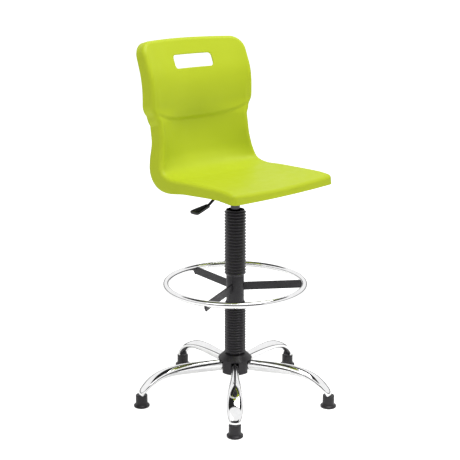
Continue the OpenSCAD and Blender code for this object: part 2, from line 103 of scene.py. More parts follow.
def curve_through(stations: np.ndarray, t: np.ndarray) -> np.ndarray:
    """Follow a Catmull-Rom curve through stations.

    Args:
        stations: One row per station, with any number of values in a row.
        t: Station numbers to read the curve at; fractions lie between stations.

    Returns:
        One row of values for each t.
    """
    first = 2 * stations[0] - stations[1]
    last = 2 * stations[-1] - stations[-2]
    padded = np.vstack([first, stations, last])
    t = np.asarray(t, float)
    i = np.clip(np.floor(t).astype(int), 0, len(stations) - 2)
    f = (t - i)[..., None]
    a, b, c, d = (padded[i + k] for k in range(4))
    straight = 2 * b + (c - a) * f
    squared = (2 * a - 5 * b + 4 * c - d) * f**2
    cubed = (3 * b - a - 3 * c + d) * f**3
    return 0.5 * (straight + squared + cubed)


def add_mesh(
    name: str, points: np.ndarray, faces: Faces, sharp_degrees: float = 35.0
) -> bpy.types.Object:
    """Make a smooth-shaded mesh object.

    Args:
        name: Name of the object.
        points: One row of x, y, z per vertex.
        faces: Lists of vertex numbers.
        sharp_degrees: Edges that bend more than this stay sharp.

    Returns:
        The new object, linked to the scene.
    """
    mesh = bpy.data.meshes.new(name)
    mesh.from_pydata(np.asarray(points, float).tolist(), [], [list(map(int, f)) for f in faces])
    mesh.validate()
    mesh.update()
    mesh.shade_smooth()
    mesh.set_sharp_from_angle(angle=math.radians(sharp_degrees))
    piece = bpy.data.objects.new(name, mesh)
    bpy.context.scene.collection.objects.link(piece)
    return piece


def turned(profile: list, turns: int = 96) -> tuple[np.ndarray, Faces]:
    """Turn a profile about the Z axis.

    Args:
        profile: Points (radius, height), in order round the section; the last joins the first.
        turns: Number of flat steps in one turn.

    Returns:
        The points and the faces of the turned surface.
    """
    section = np.array(profile, float)
    count = len(section)
    angles = np.arange(turns) * (2 * math.pi / turns)
    points = np.stack(
        [
            np.outer(np.cos(angles), section[:, 0]),
            np.outer(np.sin(angles), section[:, 0]),
            np.tile(section[:, 1], (turns, 1)),
        ],
        axis=-1,
    ).reshape(-1, 3)
    faces = []
    for k in range(turns):
        near, far = k * count, ((k + 1) % turns) * count
        for j in range(count):
            m = (j + 1) % count
            faces.append([near + j, far + j, far + m, near + m])
    return points, faces


def swept(rings: np.ndarray) -> tuple[np.ndarray, Faces]:
    """Join rings of points into a bar with flat ends.

    Args:
        rings: An array of rings, each a loop of x, y, z points, all with the same count.

    Returns:
        The points and the faces of the bar.
    """
    count = rings.shape[1]
    faces = []
    for i in range(rings.shape[0] - 1):
        for k in range(count):
            a, b = i * count + k, i * count + (k + 1) % count
            faces.append([a, a + count, b + count, b])
    faces.append(list(range(count)))
    last = (rings.shape[0] - 1) * count
    faces.append([last + k for k in reversed(range(count))])
    return rings.reshape(-1, 3), faces


def rounded(profile: list, radius: float, steps: int = 4) -> list:
    """Round every corner of a closed profile.

    Args:
        profile: Corner points (u, v) in order.
        radius: Rounding radius, made smaller where a side is short.
        steps: Number of steps in each rounding.

    Returns:
        The profile with an arc-like curve at each corner.
    """
    result = []
    count = len(profile)
    for i, corner in enumerate(profile):
        here = np.array(corner, float)
        before = np.array(profile[i - 1], float) - here
        after = np.array(profile[(i + 1) % count], float) - here
        reach = min(radius, 0.45 * np.linalg.norm(before), 0.45 * np.linalg.norm(after))
        start = here + before / np.linalg.norm(before) * reach
        end = here + after / np.linalg.norm(after) * reach
        for s in np.linspace(0, 1, steps + 1):
            result.append(tuple((1 - s) ** 2 * start + 2 * s * (1 - s) * here + s**2 * end))
    return result


def rounded_open(profile: list, radius: float, steps: int = 5) -> list:
    """Round the inner corners of an open line of points."""
    closed = rounded(profile, radius, steps)
    return [profile[0]] + closed[steps + 1 : -(steps + 1)] + [profile[-1]]


def turned_about_z(points: np.ndarray, degrees: float) -> np.ndarray:
    """Return points turned about the Z axis."""
    a = math.radians(degrees)
    turn = np.array([[math.cos(a), math.sin(a), 0], [-math.sin(a), math.cos(a), 0], [0, 0, 1]])
    return points @ turn


def bar_rings(stations: tuple, rings: int, sides: int, last: float | None = None) -> np.ndarray:
    """Build the rings of a bar bent in the plane y = 0.

    Args:
        stations: Rows of (x, height, half width, half thickness).
        rings: Number of rings.
        sides: Number of points round each ring.
        last: Station number to stop at; the last station if left out.

    Returns:
        An array of rings of points.
    """
    table = np.array(stations)
    t = np.linspace(0, len(table) - 1 if last is None else last, rings)
    middle = curve_through(table, t)
    ahead = curve_through(table, t + 0.01) - curve_through(table, t - 0.01)
    slope = np.arctan2(ahead[:, 1], ahead[:, 0])[:, None]
    a = np.linspace(0, 2 * math.pi, sides, endpoint=False)[None, :]
    across = middle[:, 2:3] * np.cos(a)
    up = middle[:, 3:4] * np.sin(a)
    x = middle[:, 0:1] - up * np.sin(slope)
    z = middle[:, 1:2] + up * np.cos(slope)
    return np.stack([x, across, z], axis=-1)


def add_parts(name: str, parts: list[tuple[np.ndarray, Faces]]) -> bpy.types.Object:
    """Make one mesh object from several closed parts.

    Args:
        name: Name of the object.
        parts: Pairs of points and faces.

    Returns:
        The new object.
    """
    points, faces, start = [], [], 0
    for part_points, part_faces in parts:
        points.append(part_points)
        faces += [[start + n for n in f] for f in part_faces]
        start += len(part_points)
    return add_mesh(name, np.vstack(points), faces)


# ---------------------------------------------------------------------------
# Finishes
# ---------------------------------------------------------------------------


@dataclass
class NodeSheet:
    """A material's node tree, with short calls to add to it."""

    name: str
    material: bpy.types.Material = field(init=False)

    def __post_init__(self) -> None:
        """Make an empty material with a Principled shader."""
        self.material = bpy.data.materials.new(self.name)
        self.material.use_nodes = True
        self.tree = self.material.node_tree
        self.shader = self.tree.nodes["Principled BSDF"]
        self.place = self.tree.nodes.new("ShaderNodeTexCoord").outputs["Object"]

    def join(self, output: Socket, target: Socket) -> None:
        """Link an output to an input."""
        self.tree.links.new(output, target)

    def noise(self, scale: float, detail: float = 3.0, stretch: Point = (1, 1, 1)) -> Socket:
        """Add a noise pattern.

        Args:
            scale: Waves per metre.
            detail: Number of finer layers.
            stretch: How much closer the waves lie along X, Y and Z.

        Returns:
            The noise's value, from 0 to 1.
        """
        mapping = self.tree.nodes.new("ShaderNodeMapping")
        mapping.inputs["Scale"].default_value = stretch
        self.join(self.place, mapping.inputs["Vector"])
        noise = self.tree.nodes.new("ShaderNodeTexNoise")
        noise.inputs["Scale"].default_value = scale
        noise.inputs["Detail"].default_value = detail
        self.join(mapping.outputs["Vector"], noise.inputs["Vector"])
        return noise.outputs["Fac"]

    def spread(self, value: Socket, low: float, high: float) -> Socket:
        """Map the middle of a noise value onto a range.

        Args:
            value: The noise's value.
            low: Result where the noise is low.
            high: Result where the noise is high.

        Returns:
            The mapped value.
        """
        node = self.tree.nodes.new("ShaderNodeMapRange")
        node.inputs["From Min"].default_value = 0.3
        node.inputs["From Max"].default_value = 0.7
        node.inputs["To Min"].default_value = low
        node.inputs["To Max"].default_value = high
        self.join(value, node.inputs["Value"])
        return node.outputs["Result"]

    def blend_colours(self, share: Socket, first: Point, second: Point) -> Socket:
        """Mix two colours by a value and return the colour."""
        mix = self.tree.nodes.new("ShaderNodeMix")
        mix.data_type = "RGBA"
        mix.inputs["A"].default_value = (*first, 1.0)
        mix.inputs["B"].default_value = (*second, 1.0)
        self.join(share, mix.inputs["Factor"])
        return mix.outputs["Result"]

    def bump(self, height: Socket, depth: float, under: Socket | None = None) -> Socket:
        """Add a bump from a height value.

        Args:
            height: Height pattern, from 0 to 1.
            depth: Height of the pattern in metres.
            under: A normal to add this bump to.

        Returns:
            The bumped normal.
        """
        node = self.tree.nodes.new("ShaderNodeBump")
        node.inputs["Distance"].default_value = depth
        node.inputs["Strength"].default_value = 1.0
        self.join(height, node.inputs["Height"])
        if under is not None:
            self.join(under, node.inputs["Normal"])
        return node.outputs["Normal"]

    def set(self, **values: float | tuple) -> None:
        """Set the shader's own sockets; an underscore stands for a space in a socket's name."""
        for key, value in values.items():
            self.shader.inputs[key.replace("_", " ")].default_value = value


@dataclass(frozen=True)
class MouldedPlastic:
    """Injection-moulded plastic: a fine spark-eroded grain, faint flow marks and uneven gloss."""

    name: str
    colour: Point
    worn_colour: Point
    roughness: float = 0.38
    grain_per_metre: float = 1400.0
    grain_depth: float = 0.00004
    specular: float = 0.5

    def material(self) -> bpy.types.Material:
        """Build the material."""
        sheet = NodeSheet(self.name)
        flow = sheet.noise(9.0, detail=2.0, stretch=(1.0, 1.0, 0.5))
        sheet.join(sheet.blend_colours(sheet.spread(flow, 0.0, 1.0), self.colour, self.worn_colour),
                   sheet.shader.inputs["Base Color"])
        gloss = sheet.noise(38.0, detail=4.0)
        sheet.join(sheet.spread(gloss, self.roughness - 0.04, self.roughness + 0.05),
                   sheet.shader.inputs["Roughness"])
        grain = sheet.noise(self.grain_per_metre, detail=2.0)
        ripple = sheet.noise(22.0, detail=1.0)
        under = sheet.bump(ripple, 0.0003)
        sheet.join(sheet.bump(grain, self.grain_depth, under), sheet.shader.inputs["Normal"])
        sheet.set(Specular_IOR_Level=self.specular, IOR=1.49)
        return sheet.material


@dataclass(frozen=True)
class PowderCoat:
    """Powder-coated steel: an orange-peel skin with a soft gloss."""

    name: str
    colour: Point
    roughness: float = 0.42

    def material(self) -> bpy.types.Material:
        """Build the material."""
        sheet = NodeSheet(self.name)
        tone = sheet.noise(30.0, detail=4.0)
        lighter = tuple(min(1.0, 1.5 * c + 0.004) for c in self.colour)
        sheet.join(sheet.blend_colours(sheet.spread(tone, 0.0, 1.0), self.colour, lighter),
                   sheet.shader.inputs["Base Color"])
        sheet.join(sheet.spread(sheet.noise(120.0), self.roughness - 0.07, self.roughness + 0.07),
                   sheet.shader.inputs["Roughness"])
        peel = sheet.noise(650.0, detail=2.0)
        sheet.join(sheet.bump(peel, 0.00006), sheet.shader.inputs["Normal"])
        sheet.set(Specular_IOR_Level=0.4)
        return sheet.material


@dataclass(frozen=True)
class PlatedMetal:
    """Bright plated metal: mirror gloss, faint polishing waves and hairline handling marks."""

    name: str
    colour: Point
    roughness: float = 0.06
    wave_depth: float = 0.00006

    def material(self) -> bpy.types.Material:
        """Build the material."""
        sheet = NodeSheet(self.name)
        haze = sheet.noise(55.0, detail=5.0)
        duller = tuple(0.93 * c for c in self.colour)
        sheet.join(sheet.blend_colours(sheet.spread(haze, 0.0, 1.0), self.colour, duller),
                   sheet.shader.inputs["Base Color"])
        marks = sheet.noise(900.0, detail=3.0, stretch=(0.15, 1.0, 1.0))
        sheet.join(sheet.spread(marks, self.roughness * 0.6, self.roughness * 1.5),
                   sheet.shader.inputs["Roughness"])
        waves = sheet.noise(34.0, detail=1.0)
        sheet.join(sheet.bump(waves, self.wave_depth), sheet.shader.inputs["Normal"])
        sheet.set(Metallic=1.0)
        return sheet.material


@dataclass(frozen=True)
class MachinedMetal:
    """Turned or ground metal: fine tool marks along one direction."""

    name: str
    colour: Point
    roughness: float = 0.28
    marks_per_metre: float = 2500.0

    def material(self) -> bpy.types.Material:
        """Build the material."""
        sheet = NodeSheet(self.name)
        stain = sheet.noise(60.0, detail=5.0)
        darker = tuple(0.78 * c for c in self.colour)
        sheet.join(sheet.blend_colours(sheet.spread(stain, 0.0, 1.0), self.colour, darker),
                   sheet.shader.inputs["Base Color"])
        marks = sheet.noise(self.marks_per_metre, detail=1.0, stretch=(0.04, 0.04, 1.0))
        sheet.join(sheet.spread(marks, self.roughness - 0.06, self.roughness + 0.1),
                   sheet.shader.inputs["Roughness"])
        sheet.join(sheet.bump(marks, 0.00002), sheet.shader.inputs["Normal"])
        sheet.set(Metallic=1.0)
        return sheet.material


class Finishes:
    """Every finish on the chair, made once."""

    def __init__(self) -> None:
        """Build the materials."""
        self.shell = MouldedPlastic(
            "lime_polypropylene",
            (0.480, 0.578, 0.012),
            (0.500, 0.598, 0.016),
            roughness=0.5,
            specular=0.3,
        ).material()
        self.black_plastic = MouldedPlastic(
            "black_plastic",
            (0.015, 0.013, 0.016),
            (0.023, 0.021, 0.024),
            roughness=0.36,
            specular=0.45,
        ).material()
        self.gloss_black = MouldedPlastic(
            "gloss_black_grip",
            (0.008, 0.010, 0.009),
            (0.014, 0.016, 0.015),
            roughness=0.2,
            grain_depth=0.00002,
        ).material()
        self.bellows = MouldedPlastic(
            "bellows_rubber", (0.024, 0.022, 0.026), (0.036, 0.034, 0.038), roughness=0.30
        ).material()
        self.black_steel = PowderCoat("black_powder_coat", (0.014, 0.013, 0.0155)).material()
        self.chrome = PlatedMetal("bright_chrome", (0.96, 0.96, 0.965), roughness=0.05).material()
        self.gas_steel = PlatedMetal("dark_plated_tube", (0.075, 0.073, 0.08), roughness=0.12).material()
        self.steel = MachinedMetal("zinc_plated_steel", (0.62, 0.61, 0.58)).material()
        self.brass = MachinedMetal("turned_brass", (0.80, 0.58, 0.25)).material()

    def for_slot(self, slot: Slot) -> bpy.types.Material:
        """Return the material of one slot."""
        return {
            Slot.SHELL: self.shell,
            Slot.BLACK_PLASTIC: self.black_plastic,
            Slot.GLOSS_BLACK: self.gloss_black,
            Slot.BELLOWS: self.bellows,
            Slot.BLACK_STEEL: self.black_steel,
            Slot.CHROME: self.chrome,
            Slot.GAS_STEEL: self.gas_steel,
            Slot.STEEL: self.steel,
            Slot.BRASS: self.brass,
        }[slot]


def dress(piece: bpy.types.Object, material: bpy.types.Material) -> None:
    """Give a piece one material, in place of any it has."""
    piece.data.materials.clear()
    piece.data.materials.append(material)


def fit(
    piece: bpy.types.Object, body: Body, slot: Slot, finishes: Finishes, *nodes: str
) -> bpy.types.Object:
    """Dress a piece, make it move with a body and let it stand for CAD nodes.

    Args:
        piece: The piece.
        body: The CAD body that it moves with.
        slot: The material slot that picks the piece's finish.
        finishes: The chair's finishes.
        *nodes: CAD nodes that it stands for.

    Returns:
        The same piece.
    """
    dress(piece, finishes.for_slot(slot))
    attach(piece, body.value)
    if nodes:
        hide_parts(*nodes)
    log.info("%s rides on %s", piece.name, body.value)
    return piece


# ---------------------------------------------------------------------------
# Seat shell
# ---------------------------------------------------------------------------


@dataclass
class SeatShell:
    """The one-piece moulded seat and back, with its rim, crease, handle slot and screw bosses.

    The wall's front face follows two lines from the front of the seat to the top of the back, one
    along its edge and one along its middle. Each station is (edge y, edge z, middle y, middle z).
    """

    stations: tuple = (
        (-0.188, 0.686, -0.188, 0.678),
        (-0.150, 0.690, -0.150, 0.680),
        (-0.105, 0.691, -0.100, 0.680),
        (-0.055, 0.691, -0.048, 0.679),
        (0.000, 0.691, 0.010, 0.678),
        (0.058, 0.690, 0.072, 0.681),
        (0.095, 0.701, 0.120, 0.696),
        (0.109, 0.727, 0.147, 0.725),
        (0.115, 0.762, 0.160, 0.760),
        (0.119, 0.797, 0.167, 0.796),
        (0.124, 0.832, 0.168, 0.832),
        (0.128, 0.867, 0.162, 0.868),
        (0.127, 0.902, 0.158, 0.903),
        (0.128, 0.938, 0.159, 0.938),
        (0.134, 0.974, 0.167, 0.974),
        (0.149, 1.014, 0.182, 1.014),
        (0.167, 1.056, 0.199, 1.059),
    )
    wall: float = 0.005
    rim_radius: float = 0.012
    rim_flare: float = 0.003
    seat_rim_depth: float = 0.028
    back_rim_depth: float = 0.037
    top_rim_depth: float = 0.031
    rim_deepening: float = 5.0
    top_taper_start: float = 13.5
    heel_depth: float = 0.009
    heel_station: float = 6.3
    heel_reach: float = 2.4
    front_arch: float = 0.005
    seat_width: float = 0.400
    waist_width: float = 0.349
    back_width: float = 0.400
    front_flare: float = 0.003
    seat_end: float = 5.0
    waist_station: float = 10.0
    waist_fullest: float = 9.0
    back_start: float = 11.0
    waist_span: float = 1.6
    top_corner_radius: float = 0.043
    front_corner_radius: float = 0.017
    front_segment: float = 0.037
    top_segment: float = 0.0485
    slot_length: float = 0.150
    slot_height: float = 0.038
    slot_corner: float = 0.010
    slot_centre_z: float = 1.002
    slot_edge: float = 0.0016
    crease_height: float = 0.835
    crease_rise: float = 0.042
    crease_width: float = 0.012
    pillow_depth: float = 0.0036
    pillow_full: float = 0.010
    pillow_fade: float = 0.090
    pillow_half_width: float = 0.172
    pillow_edge: float = 0.016
    boss_radius: float = 0.010
    boss_places: tuple = SCREW_PLACES
    boss_bottom: float = 0.650
    boss_top: float = 0.677
    columns: int = 96
    rows_between: int = 190
    corner_steps: int = 14
    rounding_steps: int = 8

    def __post_init__(self) -> None:
        """Lay out the grid of the wall."""
        self.last_station = len(self.stations) - 1
        first = (self.front_corner_radius - self.rim_radius) / self.front_segment
        last = self.last_station - (self.top_corner_radius - self.rim_radius) / self.top_segment
        turn = 1 - np.cos(np.linspace(0, math.pi / 2, self.corner_steps + 1))
        front_rows = first * turn[:-1]
        top_rows = self.last_station - (self.last_station - last) * turn[-2::-1]
        between = np.linspace(first, last, self.rows_between + 1)
        self.rows = np.concatenate([front_rows, between, top_rows])

    def half_width(self, t: np.ndarray) -> np.ndarray:
        """Return half the shell's width at station number t."""
        waist, back = self.waist_width / 2, self.back_width / 2
        narrowing = smooth_step((t - self.seat_end) / (self.waist_fullest - self.seat_end))
        below = self.seat_width / 2 - (self.seat_width / 2 - waist) * narrowing
        above = waist + (back - waist) * smooth_step((t - self.waist_station) / self.waist_span)
        front = self.front_flare * (1 - smooth_step(t / 2))
        return np.where(t < self.waist_station, below, above) + front

    def rim_depth(self, x: np.ndarray, t: np.ndarray) -> np.ndarray:
        """Return how far the rim turns back, x from the middle plane and at station number t."""
        deeper = (self.back_rim_depth - self.seat_rim_depth) * smooth_step((t - 1) / self.rim_deepening)
        near_top = smooth_step((t - self.top_taper_start) / (self.last_station - self.top_taper_start))
        shallower = (self.back_rim_depth - self.top_rim_depth) * near_top
        heel = self.heel_depth * smooth_step(1 - np.abs(t - self.heel_station) / self.heel_reach)
        arch = self.front_arch * np.maximum(0, 1 - (2 * x / self.seat_width) ** 2)
        arch = arch * (1 - smooth_step(t / 0.5))
        return self.seat_rim_depth + deeper - shallower + heel - arch

    def grid_half_width(self, t: np.ndarray) -> np.ndarray:
        """Return half the wall's width inside the rim's rounding, drawn in round the corners."""

        def inset(radius: float, distance: np.ndarray) -> np.ndarray:
            """Return how far a corner of that radius draws the edge in."""
            within = np.clip(radius - distance, 0, radius)
            return radius - np.sqrt(radius**2 - within**2)

        front = inset(self.front_corner_radius - self.rim_radius, t * self.front_segment)
        from_top = (self.last_station - t) * self.top_segment
        top = inset(self.top_corner_radius - self.rim_radius, from_top)
        return self.half_width(t) - self.rim_radius - front - top

    def wall_point(self, x: np.ndarray, t: np.ndarray) -> np.ndarray:
        """Return points of the wall's front face.

        Args:
            x: Distances from the middle plane.
            t: Station numbers.

        Returns:
            One x, y, z row per point.
        """
        line = curve_through(np.array(self.stations), t)
        share = np.minimum(1.2, np.abs(x) / (self.half_width(t) - self.rim_radius))
        bend = share**2
        y = line[..., 2] + (line[..., 0] - line[..., 2]) * bend
        z = line[..., 3] + (line[..., 1] - line[..., 3]) * bend
        return np.stack([x, y - self.pillow(x, z), z], axis=-1)

    def pillow(self, x: np.ndarray, z: np.ndarray) -> np.ndarray:
        """Return how far the upper back stands forward: most at the crease, fading above it."""
        crease = self.crease_height + self.crease_rise * (np.abs(x) / (self.back_width / 2)) ** 3
        above = z - crease
        rise = smooth_step((above + self.crease_width / 3) / self.crease_width)
        fade = 1 - smooth_step((above - self.pillow_full) / self.pillow_fade)
        edge = 1 - smooth_step((np.abs(x) - self.pillow_half_width) / self.pillow_edge)
        return self.pillow_depth * rise * fade * edge

    def wall_normal(self, x: np.ndarray, t: np.ndarray) -> np.ndarray:
        """Return the wall's forward normals."""
        across = self.wall_point(x + 0.0006, t) - self.wall_point(x - 0.0006, t)
        up = self.wall_point(x, t + 0.02) - self.wall_point(x, t - 0.02)
        return unit(np.cross(across, up))

    def slot_distance(self, x: np.ndarray, z: np.ndarray) -> np.ndarray:
        """Return the distance from the slot's outline, negative inside it."""
        qx = np.abs(x) - self.slot_length / 2 + self.slot_corner
        qz = np.abs(z - self.slot_centre_z) - self.slot_height / 2 + self.slot_corner
        outside = np.hypot(np.maximum(qx, 0), np.maximum(qz, 0))
        return outside + np.minimum(np.maximum(qx, qz), 0) - self.slot_corner

    def station_at(self, x: np.ndarray, z: np.ndarray) -> np.ndarray:
        """Return the station numbers at which the back reaches heights z."""
        low = np.full(np.shape(z), self.back_start)
        high = np.full(np.shape(z), float(self.last_station))
        for _ in range(30):
            middle = (low + high) / 2
            above = self.wall_point(x, middle)[..., 2] > z
            high = np.where(above, middle, high)
            low = np.where(above, low, middle)
        return (low + high) / 2

    def onto_slot(
        self, x: np.ndarray, z: np.ndarray, offset: float
    ) -> tuple[np.ndarray, np.ndarray]:
        """Move points onto a line at a fixed offset round the slot.

        Args:
            x: Distances from the middle plane.
            z: Heights.
            offset: The line's distance outside the slot's outline.

        Returns:
            The moved x and z.
        """
        step = 1e-5
        for _ in range(4):
            here = self.slot_distance(x, z)
            slope_x = (self.slot_distance(x + step, z) - here) / step
            slope_z = (self.slot_distance(x, z + step) - here) / step
            size = np.maximum(np.hypot(slope_x, slope_z), 1e-6)
            x = x - (here - offset) * slope_x / size
            z = z - (here - offset) * slope_z / size
        return x, z

    def build(self) -> bpy.types.Object:
        """Build the shell's mesh: both skins, the rim, the slot's edge and the bosses."""
        rows, columns = self.rows, self.columns
        t = np.repeat(rows, columns + 1).reshape(len(rows), columns + 1)
        x = np.linspace(-1, 1, columns + 1)[None, :] * self.grid_half_width(rows)[:, None]
        z = self.wall_point(x, t)[..., 2]
        near = (self.slot_distance(x, z) < self.slot_edge) & (t > self.back_start)
        inside_cells = near[:-1, :-1] & near[1:, :-1] & near[:-1, 1:] & near[1:, 1:]
        new_x, new_z = self.onto_slot(x[near], z[near], self.slot_edge)
        x[near] = new_x
        t[near] = self.station_at(new_x, new_z)

        place = np.arange(t.size).reshape(t.shape)
        border = [(0, i) for i in range(columns + 1)]
        border += [(j, columns) for j in range(1, len(rows))]
        border += [(len(rows) - 1, i) for i in range(columns - 1, -1, -1)]
        border += [(j, 0) for j in range(len(rows) - 2, 0, -1)]
        border_rows = np.array([b[0] for b in border])
        border_columns = np.array([b[1] for b in border])

        front = self.wall_point(x, t).reshape(-1, 3)
        normals = self.wall_normal(x, t).reshape(-1, 3)
        edge = place[border_rows, border_columns]
        edge_t = t[border_rows, border_columns]
        outer = self.rim_rings(front[edge], normals[edge], edge_t, 0.0)
        inner = self.rim_rings(front[edge], normals[edge], edge_t, self.wall)
        back = front - self.wall * normals
        count, ring_count = len(front), len(edge)
        points = np.vstack([front, *outer, back, *inner])
        skin = count + len(outer) * ring_count

        faces = []
        for j in range(len(rows) - 1):
            for i in range(columns):
                if not inside_cells[j, i]:
                    a, b, c, d = place[j, i], place[j, i + 1], place[j + 1, i + 1], place[j + 1, i]
                    faces.append([a, b, c, d])
                    faces.append([d + skin, c + skin, b + skin, a + skin])
        rings = [edge] + [count + k * ring_count + np.arange(ring_count) for k in range(len(outer))]
        for first, second in zip(rings[:-1], rings[1:]):
            for k in range(ring_count):
                m = (k + 1) % ring_count
                faces.append([first[k], second[k], second[m], first[m]])
                faces.append([first[m] + skin, second[m] + skin, second[k] + skin, first[k] + skin])
        lip = rings[-1]
        for k in range(ring_count):
            m = (k + 1) % ring_count
            faces.append([lip[k], lip[k] + skin, lip[m] + skin, lip[m]])

        points, faces = self.add_slot_wall(points, faces, place, inside_cells, x, t, skin)
        points, faces = self.add_bosses(points, faces)
        return add_mesh("moulded_shell", points, faces, sharp_degrees=50)

    def rim_rings(
        self, edge: np.ndarray, normals: np.ndarray, t: np.ndarray, depth: float
    ) -> list[np.ndarray]:
        """Build the rings of the rim, from the edge of the wall to the rim's lip.

        Args:
            edge: Points of the wall's edge, once round.
            normals: The wall's normals there.
            t: Station numbers there.
            depth: Depth of the skin below the front face.

        Returns:
            A list of rings of points.
        """
        along = np.roll(edge, -1, axis=0) - np.roll(edge, 1, axis=0)
        outward = unit(np.cross(along, normals))
        backs = unit(-normals * np.array([0, 1, 1]))
        centres = edge - self.rim_radius * normals
        sides = unit(outward - np.sum(outward * backs, axis=1, keepdims=True) * backs)
        turn = np.arccos(np.clip(np.sum(outward * backs, axis=1), -1, 1))
        rings = []
        for step in range(1, self.rounding_steps + 1):
            a = (turn * step / self.rounding_steps)[:, None]
            direction = np.cos(a) * normals + np.sin(a) * outward
            rings.append(centres + (self.rim_radius - depth) * direction)
        behind = np.sum((centres - edge) * backs, axis=1)
        length = (self.rim_depth(edge[:, 0], t) - behind)[:, None]
        last = rings[-1]
        lip = centres + (self.rim_radius - depth + self.rim_flare) * sides + length * backs
        inward = depth > 0
        for share in (0.25, 0.5, 0.75, 0.97):
            rings.append(last + (lip - last) * share)
        soften = 0.0009 * sides * (1 if inward else -1)
        rings.append(lip + soften)
        return rings

    def add_slot_wall(
        self,
        points: np.ndarray,
        faces: Faces,
        place: np.ndarray,
        inside_cells: np.ndarray,
        x: np.ndarray,
        t: np.ndarray,
        skin: int,
    ) -> tuple[np.ndarray, Faces]:
        """Close the slot between both skins with a rounded edge.

        Args:
            points: The shell's points so far.
            faces: The shell's faces so far.
            place: Point numbers of the front face's grid.
            inside_cells: Which grid cells lie inside the slot.
            x: Distance of each grid point from the middle plane.
            t: Station number of each grid point.
            skin: Step from a front point's number to the back point's.

        Returns:
            The points and the faces with the slot's wall added.
        """
        edges = {}
        for j, i in zip(*np.nonzero(inside_cells)):
            cell = [(j, i), (j, i + 1), (j + 1, i + 1), (j + 1, i)]
            for a, b in zip(cell, cell[1:] + cell[:1]):
                if (b, a) in edges:
                    del edges[(b, a)]
                else:
                    edges[(a, b)] = True
        following = dict(edges.keys())
        start = next(iter(following))
        loop = [start]
        while following[loop[-1]] != start:
            loop.append(following[loop[-1]])
        cells = (np.array([p[0] for p in loop]), np.array([p[1] for p in loop]))
        loop_x, loop_t = x[cells], t[cells]
        loop_z = self.wall_point(loop_x, loop_t)[..., 2]
        front_edge = [
            (self.slot_edge * (1 - math.sin(a)), self.slot_edge * (1 - math.cos(a)))
            for a in np.radians((30, 60, 90))
        ]
        back_edge = [(offset, self.wall - depth) for offset, depth in reversed(front_edge)]
        numbers = [place[cells]]
        total = len(points)
        added = []
        for offset, depth in front_edge + back_edge:
            ring_x, ring_z = self.onto_slot(loop_x, loop_z, offset)
            ring_t = self.station_at(ring_x, ring_z)
            inward = depth * self.wall_normal(ring_x, ring_t)
            added.append(self.wall_point(ring_x, ring_t) - inward)
            numbers.append(total + np.arange(len(loop)))
            total += len(loop)
        numbers.append(place[cells] + skin)
        for first, second in zip(numbers[:-1], numbers[1:]):
            for k in range(len(loop)):
                m = (k + 1) % len(loop)
                faces.append([first[k], first[m], second[m], second[k]])
        return np.vstack([points, *added]), faces

    def add_bosses(self, points: np.ndarray, faces: Faces) -> tuple[np.ndarray, Faces]:
        """Add the round screw bosses under the seat."""
        profile = [
            (0.0, self.boss_bottom),
            (self.boss_radius - 0.0006, self.boss_bottom),
            (self.boss_radius, self.boss_bottom + 0.0006),
            (self.boss_radius, self.boss_top - 0.006),
            (self.boss_radius + 0.002, self.boss_top),
            (0.0, self.boss_top),
        ]
        post, post_faces = turned(profile, turns=40)
        for x, y in self.boss_places:
            start = len(points)
            points = np.vstack([points, post + np.array([x, y, 0])])
            faces = faces + [[start + n for n in f] for f in post_faces]
        return points, faces


# ---------------------------------------------------------------------------
# Seat mechanism and release lever
# ---------------------------------------------------------------------------


